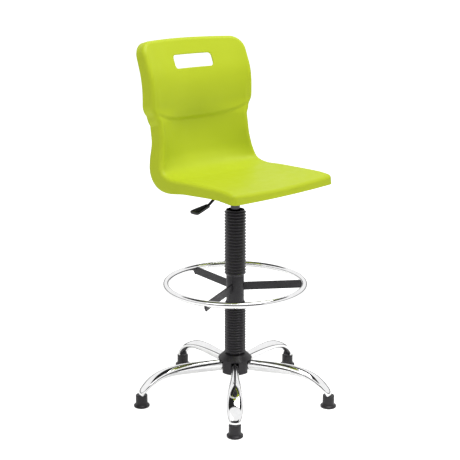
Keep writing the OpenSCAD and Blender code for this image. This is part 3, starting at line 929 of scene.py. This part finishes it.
@dataclass
class SeatMechanism:
    """The folded steel housing under the seat, its plate, socket, weld and screws."""

    length: float = 0.080
    width: float = 0.048
    bottom: float = 0.606
    plate_bottom: float = 0.646
    plate_thickness: float = 0.004
    # The plate is a real part, but it is drawn larger than the mechanism needs, so that its black also
    # stands in for the painted shade of the seat's underside where the chrome legs and ring mirror it.
    plate_and_shade_size: tuple = (0.310, 0.250)
    plate_centre_y: float = -0.020
    plate_corner: float = 0.015
    sheet: float = 0.0025
    fold_radius: float = 0.004
    socket_radius: float = 0.019
    socket_bottom: float = 0.598
    socket_top: float = 0.636
    socket_bore_radius: float = 0.0141
    weld_size: tuple = (0.0035, 0.0022)
    weld_ripple: float = 0.0003
    weld_ripples: int = 46
    screw_places: tuple = SCREW_PLACES
    screw_head_radius: float = 0.006
    screw_head_height: float = 0.004
    screw_radius: float = 0.003
    screw_length: float = 0.018

    def housing(self) -> bpy.types.Object:
        """Build the folded channel, open towards the plate."""
        half, top = self.width / 2, self.plate_bottom
        within, floor = half - self.sheet, self.bottom + self.sheet
        outer = [(-half, top), (-half, self.bottom), (half, self.bottom), (half, top)]
        inner = [(within, top), (within, floor), (-within, floor), (-within, top)]
        outer = rounded_open(outer, self.fold_radius)
        inner = rounded_open(inner, self.fold_radius - self.sheet)
        section = np.array(outer + inner)
        ends = np.linspace(-self.length / 2, self.length / 2, 13)
        rings = np.stack([np.column_stack([np.full(len(section), x), section]) for x in ends])
        points, faces = swept(rings)
        return add_mesh("folded_housing", points, faces)

    def socket_weld(self) -> bpy.types.Object:
        """Build the weld bead between the socket and the housing."""
        width, height = self.weld_size
        bead = [
            (self.socket_radius + width * math.cos(a), self.bottom + height * math.sin(a))
            for a in np.linspace(0, -2 * math.pi, 17)[:-1]
        ]
        points, faces = turned(bead, turns=160)
        angles = np.arctan2(points[:, 1], points[:, 0])
        points[:, 2] += self.weld_ripple * np.sin(angles * self.weld_ripples)
        return add_mesh("socket_weld", points, faces)

    def socket(self) -> bpy.types.Object:
        """Build the tapered socket's outside."""
        bottom, top = self.socket_bottom, self.socket_top
        inner, outer = self.socket_bore_radius, self.socket_radius
        profile = [(inner, bottom), (outer, bottom), (outer, top), (inner, top)]
        points, faces = turned(rounded(profile, 0.001))
        return add_mesh("tapered_socket", points, faces)

    def plate(self) -> bpy.types.Object:
        """Build the stamped plate, with a bevelled edge; it is drawn wide so that its black also stands
        in for painted shade under the seat, where the chrome mirrors it.
        """
        x, y = self.plate_and_shade_size[0] / 2, self.plate_and_shade_size[1] / 2
        corners = [(-x, -y), (x, -y), (x, y), (-x, y)]
        outline = np.array(rounded(corners, self.plate_corner, steps=10))
        bevel = 0.0006
        low, high = self.plate_bottom, self.plate_bottom + self.plate_thickness
        rings = []
        for z, inset in ((low, bevel), (low + bevel, 0.0), (high - bevel, 0.0), (high, bevel)):
            shrink = 1 - inset / (np.array(self.plate_and_shade_size) / 2)
            flat = outline * shrink + np.array([0, self.plate_centre_y])
            rings.append(np.column_stack([flat, np.full(len(flat), z)]))
        points, faces = swept(np.stack(rings)[::-1])
        return add_mesh("stamped_plate_and_shade", points, faces, sharp_degrees=30)

    def screws(self) -> bpy.types.Object:
        """Build the four button-head screws with round driver recesses."""
        top, bottom = self.plate_bottom, self.plate_bottom - self.screw_head_height
        r = self.screw_head_radius
        recess = [(0.0, bottom + 0.002), (0.0022, bottom + 0.002), (0.0024, bottom)]
        dome = [(0.0034, bottom + 0.0002), (0.0047, bottom + 0.0009), (0.0056, bottom + 0.0020)]
        rim = [(r, bottom + 0.0034), (r, top)]
        shank_end = top + self.screw_length
        shank = [(self.screw_radius, top), (self.screw_radius, shank_end), (0.0, shank_end)]
        profile = recess + dome + rim + shank
        post, post_faces = turned(profile, turns=36)
        parts = [(post + np.array([x, y, 0]), post_faces) for x, y in self.screw_places]
        return add_parts("seat_plate_screws", parts)

    def dress(self, finishes: Finishes) -> None:
        """Build every piece and put it on the seat."""
        fit(self.housing(), Body.SEAT, Slot.BLACK_STEEL, finishes, "mechanism_housing")
        fit(self.socket(), Body.SEAT, Slot.BLACK_STEEL, finishes, "taper_socket")
        fit(self.socket_weld(), Body.SEAT, Slot.BLACK_STEEL, finishes)
        fit(self.plate(), Body.SEAT, Slot.BLACK_STEEL, finishes, "mounting_plate")
        fit(self.screws(), Body.SEAT, Slot.STEEL, finishes, "seat_screws")


@dataclass
class ReleaseLever:
    """The bent rod, its pivot boss and tongue, and the flat paddle on its end."""

    stations: tuple = (
        (-0.030, 0.634, 0.004, 0.004),
        (-0.052, 0.635, 0.004, 0.004),
        (-0.072, 0.633, 0.004, 0.004),
        (-0.092, 0.6215, 0.004, 0.004),
        (-0.111, 0.610, 0.004, 0.004),
        (-0.132, 0.6035, 0.004, 0.004),
        (-0.160, 0.598, 0.004, 0.004),
    )
    paddle_start: tuple = (-0.106, 0.611)
    paddle_slope: float = 12.0
    paddle_length: float = 0.063
    paddle_thickness: float = 0.011
    paddle_narrow: float = 0.0075
    paddle_wide: float = 0.017
    boss_radius: float = 0.006
    boss_length: float = 0.041
    tongue: tuple = ((-0.034, 0.006), (-0.006, 0.006), (0.6408, 0.6448))
    root_length: float = 0.008

    def rod(self) -> bpy.types.Object:
        """Build the rod with its pivot boss and the tongue over the button."""
        points, faces = swept(bar_rings(self.stations, rings=60, sides=28))
        half, radius, ease = self.boss_length / 2, self.boss_radius, 0.0005
        low_end = [(0.0, -half), (radius - ease, -half), (radius, -half + ease)]
        high_end = [(radius, half - ease), (radius - ease, half), (0.0, half)]
        boss, boss_faces = turned(low_end + high_end, turns=40)
        pivot_x, pivot_z = self.stations[0][0], self.stations[0][1]
        boss = np.column_stack([boss[:, 0] + pivot_x, -boss[:, 2], boss[:, 1] + pivot_z])
        (x0, x1), (y0, y1), (z0, z1) = self.tongue
        bar = self.block(x0, x1, y0, y1, z0, z1, rings=5)
        root = self.block(x0, x0 + self.root_length, y0, y1, pivot_z, z1, rings=3)
        return add_parts("bent_lever_rod", [(points, faces), (boss, boss_faces), bar, root])

    def block(
        self, x0: float, x1: float, y0: float, y1: float, z0: float, z1: float, rings: int
    ) -> tuple[np.ndarray, Faces]:
        """Build a block along X with eased long edges."""
        outline = np.array(rounded([(y0, z0), (y1, z0), (y1, z1), (y0, z1)], 0.0008))
        places = np.linspace(x0, x1, rings)
        sections = [np.column_stack([np.full(len(outline), x), outline]) for x in places]
        return swept(np.stack(sections))

    def paddle(self) -> bpy.types.Object:
        """Build the flat grip, wider towards its end and rounded all round."""
        steps, sides = 44, 48
        angles = np.linspace(0, 2 * math.pi, sides, endpoint=False)
        rings = []
        for share in (1 - np.cos(np.linspace(0, math.pi, steps))) / 2:
            along = share * self.paddle_length
            widening = smooth_step(share * 1.05)
            width = self.paddle_narrow + (self.paddle_wide - self.paddle_narrow) * widening
            end = (1 - abs(2 * share - 1) ** 14) ** 0.5
            half_width = max(0.0005, width * end)
            half_height = max(0.0005, self.paddle_thickness / 2 * end)
            across = half_width * np.sign(np.cos(angles)) * np.abs(np.cos(angles)) ** 0.5
            up = half_height * np.sign(np.sin(angles)) * np.abs(np.sin(angles)) ** 0.5
            rings.append(np.column_stack([np.full(sides, along), across, up]))
        local = np.stack(rings)
        a = math.radians(self.paddle_slope)
        x = self.paddle_start[0] - local[..., 0] * math.cos(a) - local[..., 2] * math.sin(a)
        z = self.paddle_start[1] - local[..., 0] * math.sin(a) + local[..., 2] * math.cos(a)
        points, faces = swept(np.stack([x, local[..., 1], z], axis=-1)[::-1])
        return add_mesh("lever_grip", points, faces, sharp_degrees=60)

    def dress(self, finishes: Finishes) -> None:
        """Build both pieces and put them on the lever."""
        fit(self.rod(), Body.LEVER, Slot.BLACK_STEEL, finishes, "release_lever")
        fit(self.paddle(), Body.LEVER, Slot.GLOSS_BLACK, finishes, "lever_paddle")


# ---------------------------------------------------------------------------
# Column, gas spring and bellows
# ---------------------------------------------------------------------------


@dataclass
class Column:
    """The gas spring, the steel column tube and the parts inside them."""

    tube_radius: float = 0.014
    tube_bottom: float = 0.250
    taper_bottom: float = 0.598
    tube_top: float = 0.634
    taper_drop: float = 0.0004
    bore_radius: float = 0.012
    bore_top: float = 0.620
    button_hole_radius: float = 0.0042
    hidden: tuple = (
        ("rod_seal", Slot.BLACK_PLASTIC),
        ("release_button", Slot.STEEL),
        ("piston_rod", Slot.CHROME),
        ("piston", Slot.STEEL),
        ("rod_clip", Slot.STEEL),
        ("column_tube", Slot.BLACK_STEEL),
        ("guide_bush", Slot.BLACK_PLASTIC),
        ("lower_race", Slot.STEEL),
        ("bearing_balls", Slot.STEEL),
        ("upper_race", Slot.STEEL),
        ("end_buffer", Slot.BELLOWS),
        ("base_hub", Slot.BLACK_STEEL),
        ("glide_stems", Slot.STEEL),
        ("shell_inserts", Slot.BRASS),
        ("lever_pivot_pin", Slot.STEEL),
    )

    def gas_tube(self) -> bpy.types.Object:
        """Build the plated tube of the gas spring."""
        r, low, top = self.tube_radius, self.tube_bottom, self.tube_top
        tapered = r - self.taper_drop
        foot = [(self.bore_radius, low), (r - 0.0008, low), (r, low + 0.0008)]
        cone = [(r, self.taper_bottom), (tapered, top - 0.0006), (tapered - 0.0006, top)]
        button_hole = [(self.button_hole_radius, top), (self.button_hole_radius, self.bore_top)]
        profile = foot + cone + button_hole + [(self.bore_radius, self.bore_top)]
        points, faces = turned(profile)
        return add_mesh("gas_spring_tube", points, faces)

    def dress(self, finishes: Finishes) -> None:
        """Build the gas tube and finish the parts that stay inside."""
        fit(self.gas_tube(), Body.SEAT, Slot.GAS_STEEL, finishes, "gas_tube")
        for node, slot in self.hidden:
            dress(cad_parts[node], finishes.for_slot(slot))
            log.info("%s is finished in %s", node, slot.value)


@dataclass
class Bellows:
    """One ribbed rubber sleeve on the column."""

    name: str
    node: str
    bottom: float
    top: float
    ribs: int
    rib_start: float = 0.43
    rib_end: float = 0.57
    rib_radius: float = 0.032
    root_radius: float = 0.0272
    wall: float = 0.0012
    cuff: float = 0.003

    def build(self) -> bpy.types.Object:
        """Build the sleeve by turning its zigzag wall, every fold rounded."""
        pitch = (self.top - self.bottom - 2 * self.cuff) / self.ribs
        start = self.bottom + self.cuff
        outside = [(self.root_radius, self.bottom)]
        for k in range(self.ribs):
            outside += [
                (self.root_radius, start + k * pitch),
                (self.rib_radius, start + (k + self.rib_start) * pitch),
                (self.rib_radius, start + (k + self.rib_end) * pitch),
            ]
        outside += [(self.root_radius, self.top - self.cuff), (self.root_radius, self.top)]
        inside = [(r - self.wall, z) for r, z in reversed(outside)]
        points, faces = turned(rounded(outside + inside, 0.0007, steps=2), turns=112)
        return add_mesh(self.name, points, faces, sharp_degrees=60)


@dataclass
class BellowsPair:
    """The sleeve between the foot ring's hub and the seat, and the one below the foot ring."""

    ring_hub_top: float = 0.382
    upper_top: float = 0.582
    upper_ribs: int = 21
    hub_cover_top: float = 0.137
    collar_bottom: float = 0.284
    lower_ribs: int = 17
    seat_travel_joint: str = "seat_height"
    kept_share: float = 0.365

    def dress(self, finishes: Finishes) -> None:
        """Build both sleeves and put them on the base; the upper one gets a mesh of its own."""
        upper = Bellows(
            "upper_sleeve", "upper_bellows", self.ring_hub_top, self.upper_top, self.upper_ribs
        )
        lower = Bellows(
            "lower_sleeve", "lower_bellows", self.hub_cover_top, self.collar_bottom, self.lower_ribs
        )
        for sleeve in (upper, lower):
            piece = fit(sleeve.build(), Body.BASE, Slot.BELLOWS, finishes, sleeve.node)
            if sleeve is upper:
                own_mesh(piece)


# ---------------------------------------------------------------------------
# Foot ring
# ---------------------------------------------------------------------------


@dataclass
class FootRing:
    """The plated ring, its three flat spokes and screws, the hub tube and the clamping collar."""

    radius: float = 0.206
    height: float = 0.355
    tube_radius: float = 0.00925
    hub_radius: float = 0.0265
    column_radius: float = 0.025
    hub_bottom: float = 0.302
    hub_top: float = 0.382
    collar_bottom: float = 0.284
    collar_radius: float = 0.032
    collar_band: float = 0.009
    bore_play: float = 0.0001
    spoke_middle: float = 0.3465
    spoke_half_height: float = 0.012
    spoke_half_thickness: float = 0.003
    spoke_reach: float = 0.215
    spoke_angles: tuple = (-38.0, 82.0, 202.0)
    grub_radius: float = 0.0024
    screw_head_radius: float = 0.0035

    def ring(self) -> bpy.types.Object:
        """Build the bent tube."""
        tube = self.tube_radius
        section = [
            (self.radius + tube * math.cos(a), self.height + tube * math.sin(a))
            for a in np.linspace(0, -2 * math.pi, 33)[:-1]
        ]
        points, faces = turned(section, turns=220)
        return add_mesh("foot_ring_tube", points, faces)

    def hub(self) -> bpy.types.Object:
        """Build the hub tube."""
        inner, outer = self.column_radius + self.bore_play, self.hub_radius
        low, high = self.hub_bottom, self.hub_top
        profile = [(inner, low), (outer, low), (outer, high), (inner, high)]
        points, faces = turned(rounded(profile, 0.0005))
        return add_mesh("ring_hub_tube", points, faces)

    def collar(self) -> bpy.types.Object:
        """Build the clamping collar, coned towards the hub tube."""
        low, high = self.collar_bottom, self.hub_bottom
        inner, outer = self.column_radius + self.bore_play, self.collar_radius
        band = [(inner, low), (outer, low), (outer, low + self.collar_band)]
        cone = [(self.hub_radius + 0.001, high), (inner, high)]
        points, faces = turned(rounded(band + cone, 0.0009))
        return add_mesh("clamp_collar", points, faces)

    def collar_screws(self) -> bpy.types.Object:
        """Build the collar's two grub screws, each with a round socket."""
        z, end = self.collar_bottom + 0.005, self.collar_radius - 0.0004
        r, start = self.grub_radius, self.column_radius
        body = [(0.0, start), (r, start), (r, end - 0.0004), (r - 0.0004, end)]
        socket = [(0.0013, end), (0.0012, end - 0.002), (0.0, end - 0.002)]
        post, post_faces = turned(body + socket, turns=24)
        lying = np.column_stack([post[:, 2], post[:, 1], -post[:, 0] + z])
        turns = [self.spoke_angles[0] + side for side in (0, 180)]
        parts = [(turned_about_z(lying, turn), post_faces) for turn in turns]
        return add_parts("collar_grub_screws", parts)

    def spoke_outline(self) -> np.ndarray:
        """Return a spoke's outline as (distance from the axis, height), notched for the ring."""
        half = self.spoke_half_height
        low, high = self.spoke_middle - half, self.spoke_middle + half
        centre = self.spoke_reach - half
        clear = self.tube_radius + 0.00005
        end = []
        for a in np.linspace(0, math.pi, 40):
            reach = centre + half * math.sin(a)
            height = self.spoke_middle - half * math.cos(a)
            if height < self.height and math.hypot(reach - self.radius, height - self.height) > clear:
                end.append((reach, height))
        start = math.atan2(end[-1][1] - self.height, end[-1][0] - self.radius)
        stop = -math.pi - math.asin(min(1.0, (high - self.height) / clear))
        notch = [
            (self.radius + clear * math.cos(a), self.height + clear * math.sin(a))
            for a in np.linspace(start - 0.02, stop, 20)
        ]
        root = self.hub_radius - 0.0006
        return np.array([(root, low), *end, *notch, (root, high)])

    def spoke(self, number: int) -> bpy.types.Object:
        """Build one spoke from flat bar with eased edges."""
        outline = self.spoke_outline()
        before, after = np.roll(outline, 1, axis=0), np.roll(outline, -1, axis=0)
        along = unit(after - before)
        inward = np.column_stack([-along[:, 1], along[:, 0]])
        ease = 0.0005
        half = self.spoke_half_thickness
        rings = []
        for y, inset in ((-half, ease), (-half + ease, 0.0), (half - ease, 0.0), (half, ease)):
            flat = outline + inset * inward
            rings.append(np.column_stack([flat[:, 0], np.full(len(flat), y), flat[:, 1]]))
        points, faces = swept(np.stack(rings))
        points = turned_about_z(points, self.spoke_angles[number - 1])
        return add_mesh(f"flat_spoke_{number}", points, faces, sharp_degrees=30)

    def screws(self) -> bpy.types.Object:
        """Build the pan-head screws under the spokes' ends."""
        low = self.spoke_middle - self.spoke_half_height
        r = self.screw_head_radius
        recess = [(0.0, low - 0.0009), (0.0012, low - 0.0009), (0.0013, low - 0.002)]
        dome = [(0.0022, low - 0.0019), (0.0030, low - 0.0014), (r, low - 0.0004)]
        seat = [(r, low + 0.0008), (0.0, low + 0.0008)]
        post, post_faces = turned(recess + dome + seat, turns=32)
        post = post + np.array([self.radius, 0, 0])
        parts = [(turned_about_z(post, angle), post_faces) for angle in self.spoke_angles]
        return add_parts("spoke_end_screws", parts)

    def dress(self, finishes: Finishes) -> None:
        """Build every piece and put it on the base."""
        fit(self.ring(), Body.BASE, Slot.CHROME, finishes, "foot_ring")
        fit(self.hub(), Body.BASE, Slot.BLACK_STEEL, finishes, "ring_hub")
        fit(self.collar(), Body.BASE, Slot.BLACK_STEEL, finishes, "ring_collar")
        fit(self.collar_screws(), Body.BASE, Slot.STEEL, finishes, "collar_screws")
        for number in (1, 2, 3):
            fit(self.spoke(number), Body.BASE, Slot.BLACK_STEEL, finishes, f"spoke_{number}")
        fit(self.screws(), Body.BASE, Slot.BLACK_STEEL, finishes, "ring_screws")


# ---------------------------------------------------------------------------
# Base
# ---------------------------------------------------------------------------


@dataclass
class HubCover:
    """The black moulded cover over the middle of the base."""

    barrel_radius: float = 0.045
    skirt_radius: float = 0.051
    shoulder_radius: float = 0.035
    hole_radius: float = 0.026
    bottom: float = 0.079
    skirt_bottom: float = 0.1195
    top: float = 0.137
    wall: float = 0.0025
    opening: float = 0.023

    def build(self) -> bpy.types.Object:
        """Build the flared skirt and the barrel wall between the legs."""
        inner, low, high = self.barrel_radius - self.wall, self.skirt_bottom, self.top
        outside = [(self.skirt_radius, low), (self.skirt_radius, low + 0.002)]
        shoulder = [(self.shoulder_radius, high), (self.hole_radius, high)]
        under = [(self.hole_radius, high - self.wall), (self.shoulder_radius - 0.001, high - self.wall)]
        inside = [(inner, low + 0.004), (inner, low)]
        skirt = rounded(outside + shoulder + under + inside, 0.0012)
        parts = [turned(skirt, turns=144)]
        wall_top = low + 0.001
        wall = [(inner, self.bottom), (self.barrel_radius, self.bottom)]
        wall += [(self.barrel_radius, wall_top), (inner, wall_top)]
        section = np.array(rounded(wall, 0.0006))
        gap = np.degrees(np.arcsin(self.opening / 2 / section[:, 0]))
        step = 360 / LEG_COUNT
        for k in range(LEG_COUNT):
            rings = []
            for share in np.linspace(0, 1, 25):
                a = np.radians(LEG_TURN + k * step + gap + share * (step - 2 * gap))
                x, y = section[:, 0] * np.cos(a), section[:, 0] * np.sin(a)
                rings.append(np.column_stack([x, y, section[:, 1]]))
            parts.append(swept(np.stack(rings)[::-1]))
        return add_parts("moulded_hub_cover", parts)


@dataclass
class Leg:
    """One cast, polished and plated leg, swept from the hub down to its glide.

    Each station is (distance from the axis, height, half width, half thickness).
    """

    number: int
    angle: float
    stations: tuple = (
        (0.027, 0.101, 0.010, 0.0173),
        (0.080, 0.102, 0.0115, 0.0173),
        (0.130, 0.1025, 0.014, 0.017),
        (0.175, 0.1015, 0.017, 0.0153),
        (0.213, 0.0965, 0.0205, 0.0128),
        (0.242, 0.0865, 0.023, 0.0106),
        (0.264, 0.0725, 0.0235, 0.0094),
        (0.280, 0.0575, 0.0215, 0.009),
        (0.290, 0.045, 0.018, 0.009),
        (0.292, 0.0365, 0.0155, 0.009),
    )
    hub_radius: float = 0.0311

    def build(self) -> bpy.types.Object:
        """Build the leg's mesh."""
        last = len(self.stations) - 1.02
        rings = bar_rings(self.stations, rings=110, sides=48, last=last)
        rings = rings[rings[:, :, 0].min(axis=1) > self.hub_radius]
        points, faces = swept(rings)
        points = turned_about_z(points, self.angle)
        return add_mesh(f"plated_leg_{self.number}", points, faces, sharp_degrees=60)


@dataclass
class Glide:
    """One moulded glide: a round body over a flared foot."""

    number: int
    angle: float
    circle: float = 0.292
    body_radius: float = 0.0175
    foot_radius: float = 0.0235
    top: float = 0.037

    def build(self) -> bpy.types.Object:
        """Build the glide's mesh."""
        foot, body, top = self.foot_radius, self.body_radius, self.top
        flange = [(0.0, 0.0), (foot - 0.001, 0.0), (foot, 0.001), (foot, 0.005)]
        neck = [(body + 0.0008, 0.009), (body, 0.013)]
        barrel = [(body, top - 0.0015), (body - 0.0015, top), (0.0, top)]
        points, faces = turned(rounded(flange + neck + barrel, 0.0009), turns=80)
        points = turned_about_z(points + np.array([self.circle, 0, 0]), self.angle)
        return add_mesh(f"moulded_glide_{self.number}", points, faces)


class Base:
    """The five-leg base: hub cover, legs and glides."""

    def dress(self, finishes: Finishes) -> None:
        """Build every piece of the base."""
        fit(HubCover().build(), Body.BASE, Slot.BLACK_PLASTIC, finishes, "hub_cover")
        for k in range(LEG_COUNT):
            angle = LEG_TURN + 360 / LEG_COUNT * k
            fit(Leg(k + 1, angle).build(), Body.BASE, Slot.CHROME, finishes, f"leg_{k + 1}")
            fit(Glide(k + 1, angle).build(), Body.BASE, Slot.BLACK_PLASTIC, finishes, f"glide_{k + 1}")


# ---------------------------------------------------------------------------
# Studio
# ---------------------------------------------------------------------------


@dataclass
class Studio:
    """The white floor, the soft lights and the camera.

    The chrome mirrors a pale room. Heights and distances in that room are the parts of a unit
    direction: 0 at the horizon or beside the chair, 1 overhead or at the camera's end.
    """

    floor_reach: float = 40.0
    floor_steps: int = 20
    floor_glow: float = 0.85
    floor_glow_on_chair: float = 0.33
    camera_place: Point = (-2.0693, -2.0693, 1.2829)
    camera_tilt: float = 14.63
    camera_turn: float = -44.70
    lens: float = 80.565
    sensor: float = 36.0
    diagonal: float = math.sqrt(0.5)
    fill_light: float = 0.50
    wall_light: float = 0.95
    dark_light: float = 0.02
    skirting_light: float = 0.10
    skirting: tuple[float, float] = (0.08, 0.22)
    dark_end: tuple[float, float] = (0.45, 0.60)
    dark_end_top: tuple[float, float] = (0.50, 0.60)
    dark_end_side: tuple[float, float] = (0.60, 0.75)
    flag_bottom: tuple[float, float] = (0.66, 0.74)
    flag_end: tuple[float, float] = (0.20, 0.30)

    def floor(self) -> bpy.types.Object:
        """Build the pale floor."""
        steps = self.floor_steps
        line = np.linspace(-self.floor_reach, self.floor_reach, steps + 1)
        grid = [(x, y, 0.0) for y in line for x in line]
        faces = []
        for j in range(steps):
            for i in range(steps):
                a = j * (steps + 1) + i
                faces.append([a, a + 1, a + steps + 2, a + steps + 1])
        piece = add_mesh("studio_floor", np.array(grid), faces)
        sheet = NodeSheet("white_floor")
        tone = sheet.spread(sheet.noise(0.6), 0.0, 1.0)
        white = sheet.blend_colours(tone, (0.86, 0.86, 0.86), (0.88, 0.88, 0.88))
        sheet.join(white, sheet.shader.inputs["Base Color"])
        sheet.join(white, sheet.shader.inputs["Emission Color"])
        glow = sheet.tree.nodes.new("ShaderNodeMapRange")
        glow.inputs["To Min"].default_value = self.floor_glow_on_chair
        glow.inputs["To Max"].default_value = self.floor_glow
        path = sheet.tree.nodes.new("ShaderNodeLightPath")
        sheet.join(path.outputs["Is Camera Ray"], glow.inputs["Value"])
        sheet.join(glow.outputs["Result"], sheet.shader.inputs["Emission Strength"])
        sheet.set(Roughness=0.9, Specular_IOR_Level=0.0)
        dress(piece, sheet.material)
        return piece

    def light(
        self, name: str, place: Point, target: Point, size: float, power: float
    ) -> bpy.types.Object:
        """Add a square soft light.

        Args:
            name: Name of the light.
            place: Where it stands.
            target: The point it faces.
            size: Side of the square.
            power: Watts.

        Returns:
            The light object.
        """
        data = bpy.data.lights.new(name, "AREA")
        data.shape = "SQUARE"
        data.size = size
        data.energy = power
        lamp = bpy.data.objects.new(name, data)
        lamp.location = place
        direction = Vector(target) - Vector(place)
        lamp.rotation_euler = direction.to_track_quat("-Z", "Y").to_euler()
        bpy.context.scene.collection.objects.link(lamp)
        return lamp

    def camera(self) -> bpy.types.Object:
        """Add the camera."""
        data = bpy.data.cameras.new("front_left_camera")
        data.lens = self.lens
        data.sensor_width = self.sensor
        camera = bpy.data.objects.new("front_left_camera", data)
        camera.location = self.camera_place
        tilt, turn = math.radians(90 - self.camera_tilt), math.radians(self.camera_turn)
        camera.rotation_euler = (tilt, 0.0, turn)
        bpy.context.scene.collection.objects.link(camera)
        bpy.context.scene.camera = camera
        return camera

    def ramp(
        self,
        tree: bpy.types.NodeTree,
        value: Socket,
        span: tuple[float, float],
        low: float,
        high: float,
    ) -> Socket:
        """Add a smooth ramp to the room's light.

        Args:
            tree: The world's node tree.
            value: The value that runs along the ramp.
            span: Values at which the ramp starts and ends.
            low: Result before the start.
            high: Result after the end.

        Returns:
            The ramp's result.
        """
        node = tree.nodes.new("ShaderNodeMapRange")
        node.interpolation_type = "SMOOTHSTEP"
        node.inputs["From Min"].default_value = span[0]
        node.inputs["From Max"].default_value = span[1]
        node.inputs["To Min"].default_value = low
        node.inputs["To Max"].default_value = high
        tree.links.new(value, node.inputs["Value"])
        return node.outputs["Result"]

    def maths(self, tree: bpy.types.NodeTree, operation: str, *values: Socket) -> Socket:
        """Add a maths step to the room's light and return its result."""
        node = tree.nodes.new("ShaderNodeMath")
        node.operation = operation
        for place, value in enumerate(values):
            tree.links.new(value, node.inputs[place])
        return node.outputs["Value"]

    def towards(self, tree: bpy.types.NodeTree, direction: Socket, axis: Point) -> Socket:
        """Add how far a direction points along an axis, from -1 to 1, and return it."""
        node = tree.nodes.new("ShaderNodeVectorMath")
        node.operation = "DOT_PRODUCT"
        tree.links.new(direction, node.inputs[0])
        node.inputs[1].default_value = axis
        return node.outputs["Value"]

    def room(self, tree: bpy.types.NodeTree) -> Socket:
        """Add the light of the room that the chrome mirrors.

        Args:
            tree: The world's node tree.

        Returns:
            The room's light: pale walls, one dark end, and a dark flag overhead.
        """
        direction = tree.nodes.new("ShaderNodeTexCoord").outputs["Generated"]
        up = self.towards(tree, direction, (0.0, 0.0, 1.0))
        end = self.towards(tree, direction, (-self.diagonal, -self.diagonal, 0.0))
        across = self.towards(tree, direction, (self.diagonal, -self.diagonal, 0.0))
        side = self.maths(tree, "ABSOLUTE", across)
        wall = self.ramp(tree, up, self.skirting, self.skirting_light, self.wall_light)
        above = self.ramp(tree, up, self.flag_bottom, 0.0, 1.0)
        short_of_end = self.ramp(tree, end, self.flag_end, 1.0, 0.0)
        flag = self.maths(tree, "MULTIPLY", above, short_of_end)
        at_end = self.ramp(tree, end, self.dark_end, 0.0, 1.0)
        low = self.ramp(tree, up, self.dark_end_top, 1.0, 0.0)
        middle = self.ramp(tree, side, self.dark_end_side, 1.0, 0.0)
        dark_end = self.maths(tree, "MULTIPLY", self.maths(tree, "MULTIPLY", at_end, low), middle)
        dark = self.maths(tree, "MAXIMUM", flag, dark_end)
        shade = self.ramp(tree, dark, (0.0, 1.0), 1.0, self.dark_light)
        return self.maths(tree, "MULTIPLY", wall, shade)

    def world(self) -> None:
        """Surround the chair with even soft light, and with the room where it is mirrored."""
        world = bpy.data.worlds.new("soft_white_room")
        world.use_nodes = True
        tree = world.node_tree
        mix = tree.nodes.new("ShaderNodeMix")
        mix.inputs["A"].default_value = self.fill_light
        path = tree.nodes.new("ShaderNodeLightPath")
        tree.links.new(path.outputs["Is Glossy Ray"], mix.inputs["Factor"])
        tree.links.new(self.room(tree), mix.inputs["B"])
        background = tree.nodes["Background"]
        background.inputs["Color"].default_value = (1.0, 1.0, 1.0, 1.0)
        tree.links.new(mix.outputs["Result"], background.inputs["Strength"])
        bpy.context.scene.world = world

    def build(self) -> None:
        """Build the whole studio."""
        self.floor()
        self.world()
        self.light("top_soft_light", (0.5, -0.6, 3.8), (0.0, 0.0, 0.6), 2.0, 84.0)
        self.light("side_soft_light", (-3.0, -0.6, 2.4), (0.0, 0.1, 0.6), 1.6, 8.0)
        self.camera()
        bpy.context.scene.view_settings.view_transform = "Standard"


def main() -> None:
    """Build the chair, piece by piece, then the studio."""
    logging.basicConfig(level=logging.INFO, format="%(name)s: %(message)s")
    finishes = Finishes()
    fit(SeatShell().build(), Body.SEAT, Slot.SHELL, finishes, "seat_shell")
    SeatMechanism().dress(finishes)
    ReleaseLever().dress(finishes)
    Column().dress(finishes)
    BellowsPair().dress(finishes)
    FootRing().dress(finishes)
    Base().dress(finishes)
    Studio().build()


if __name__ == "__main__":
    main()
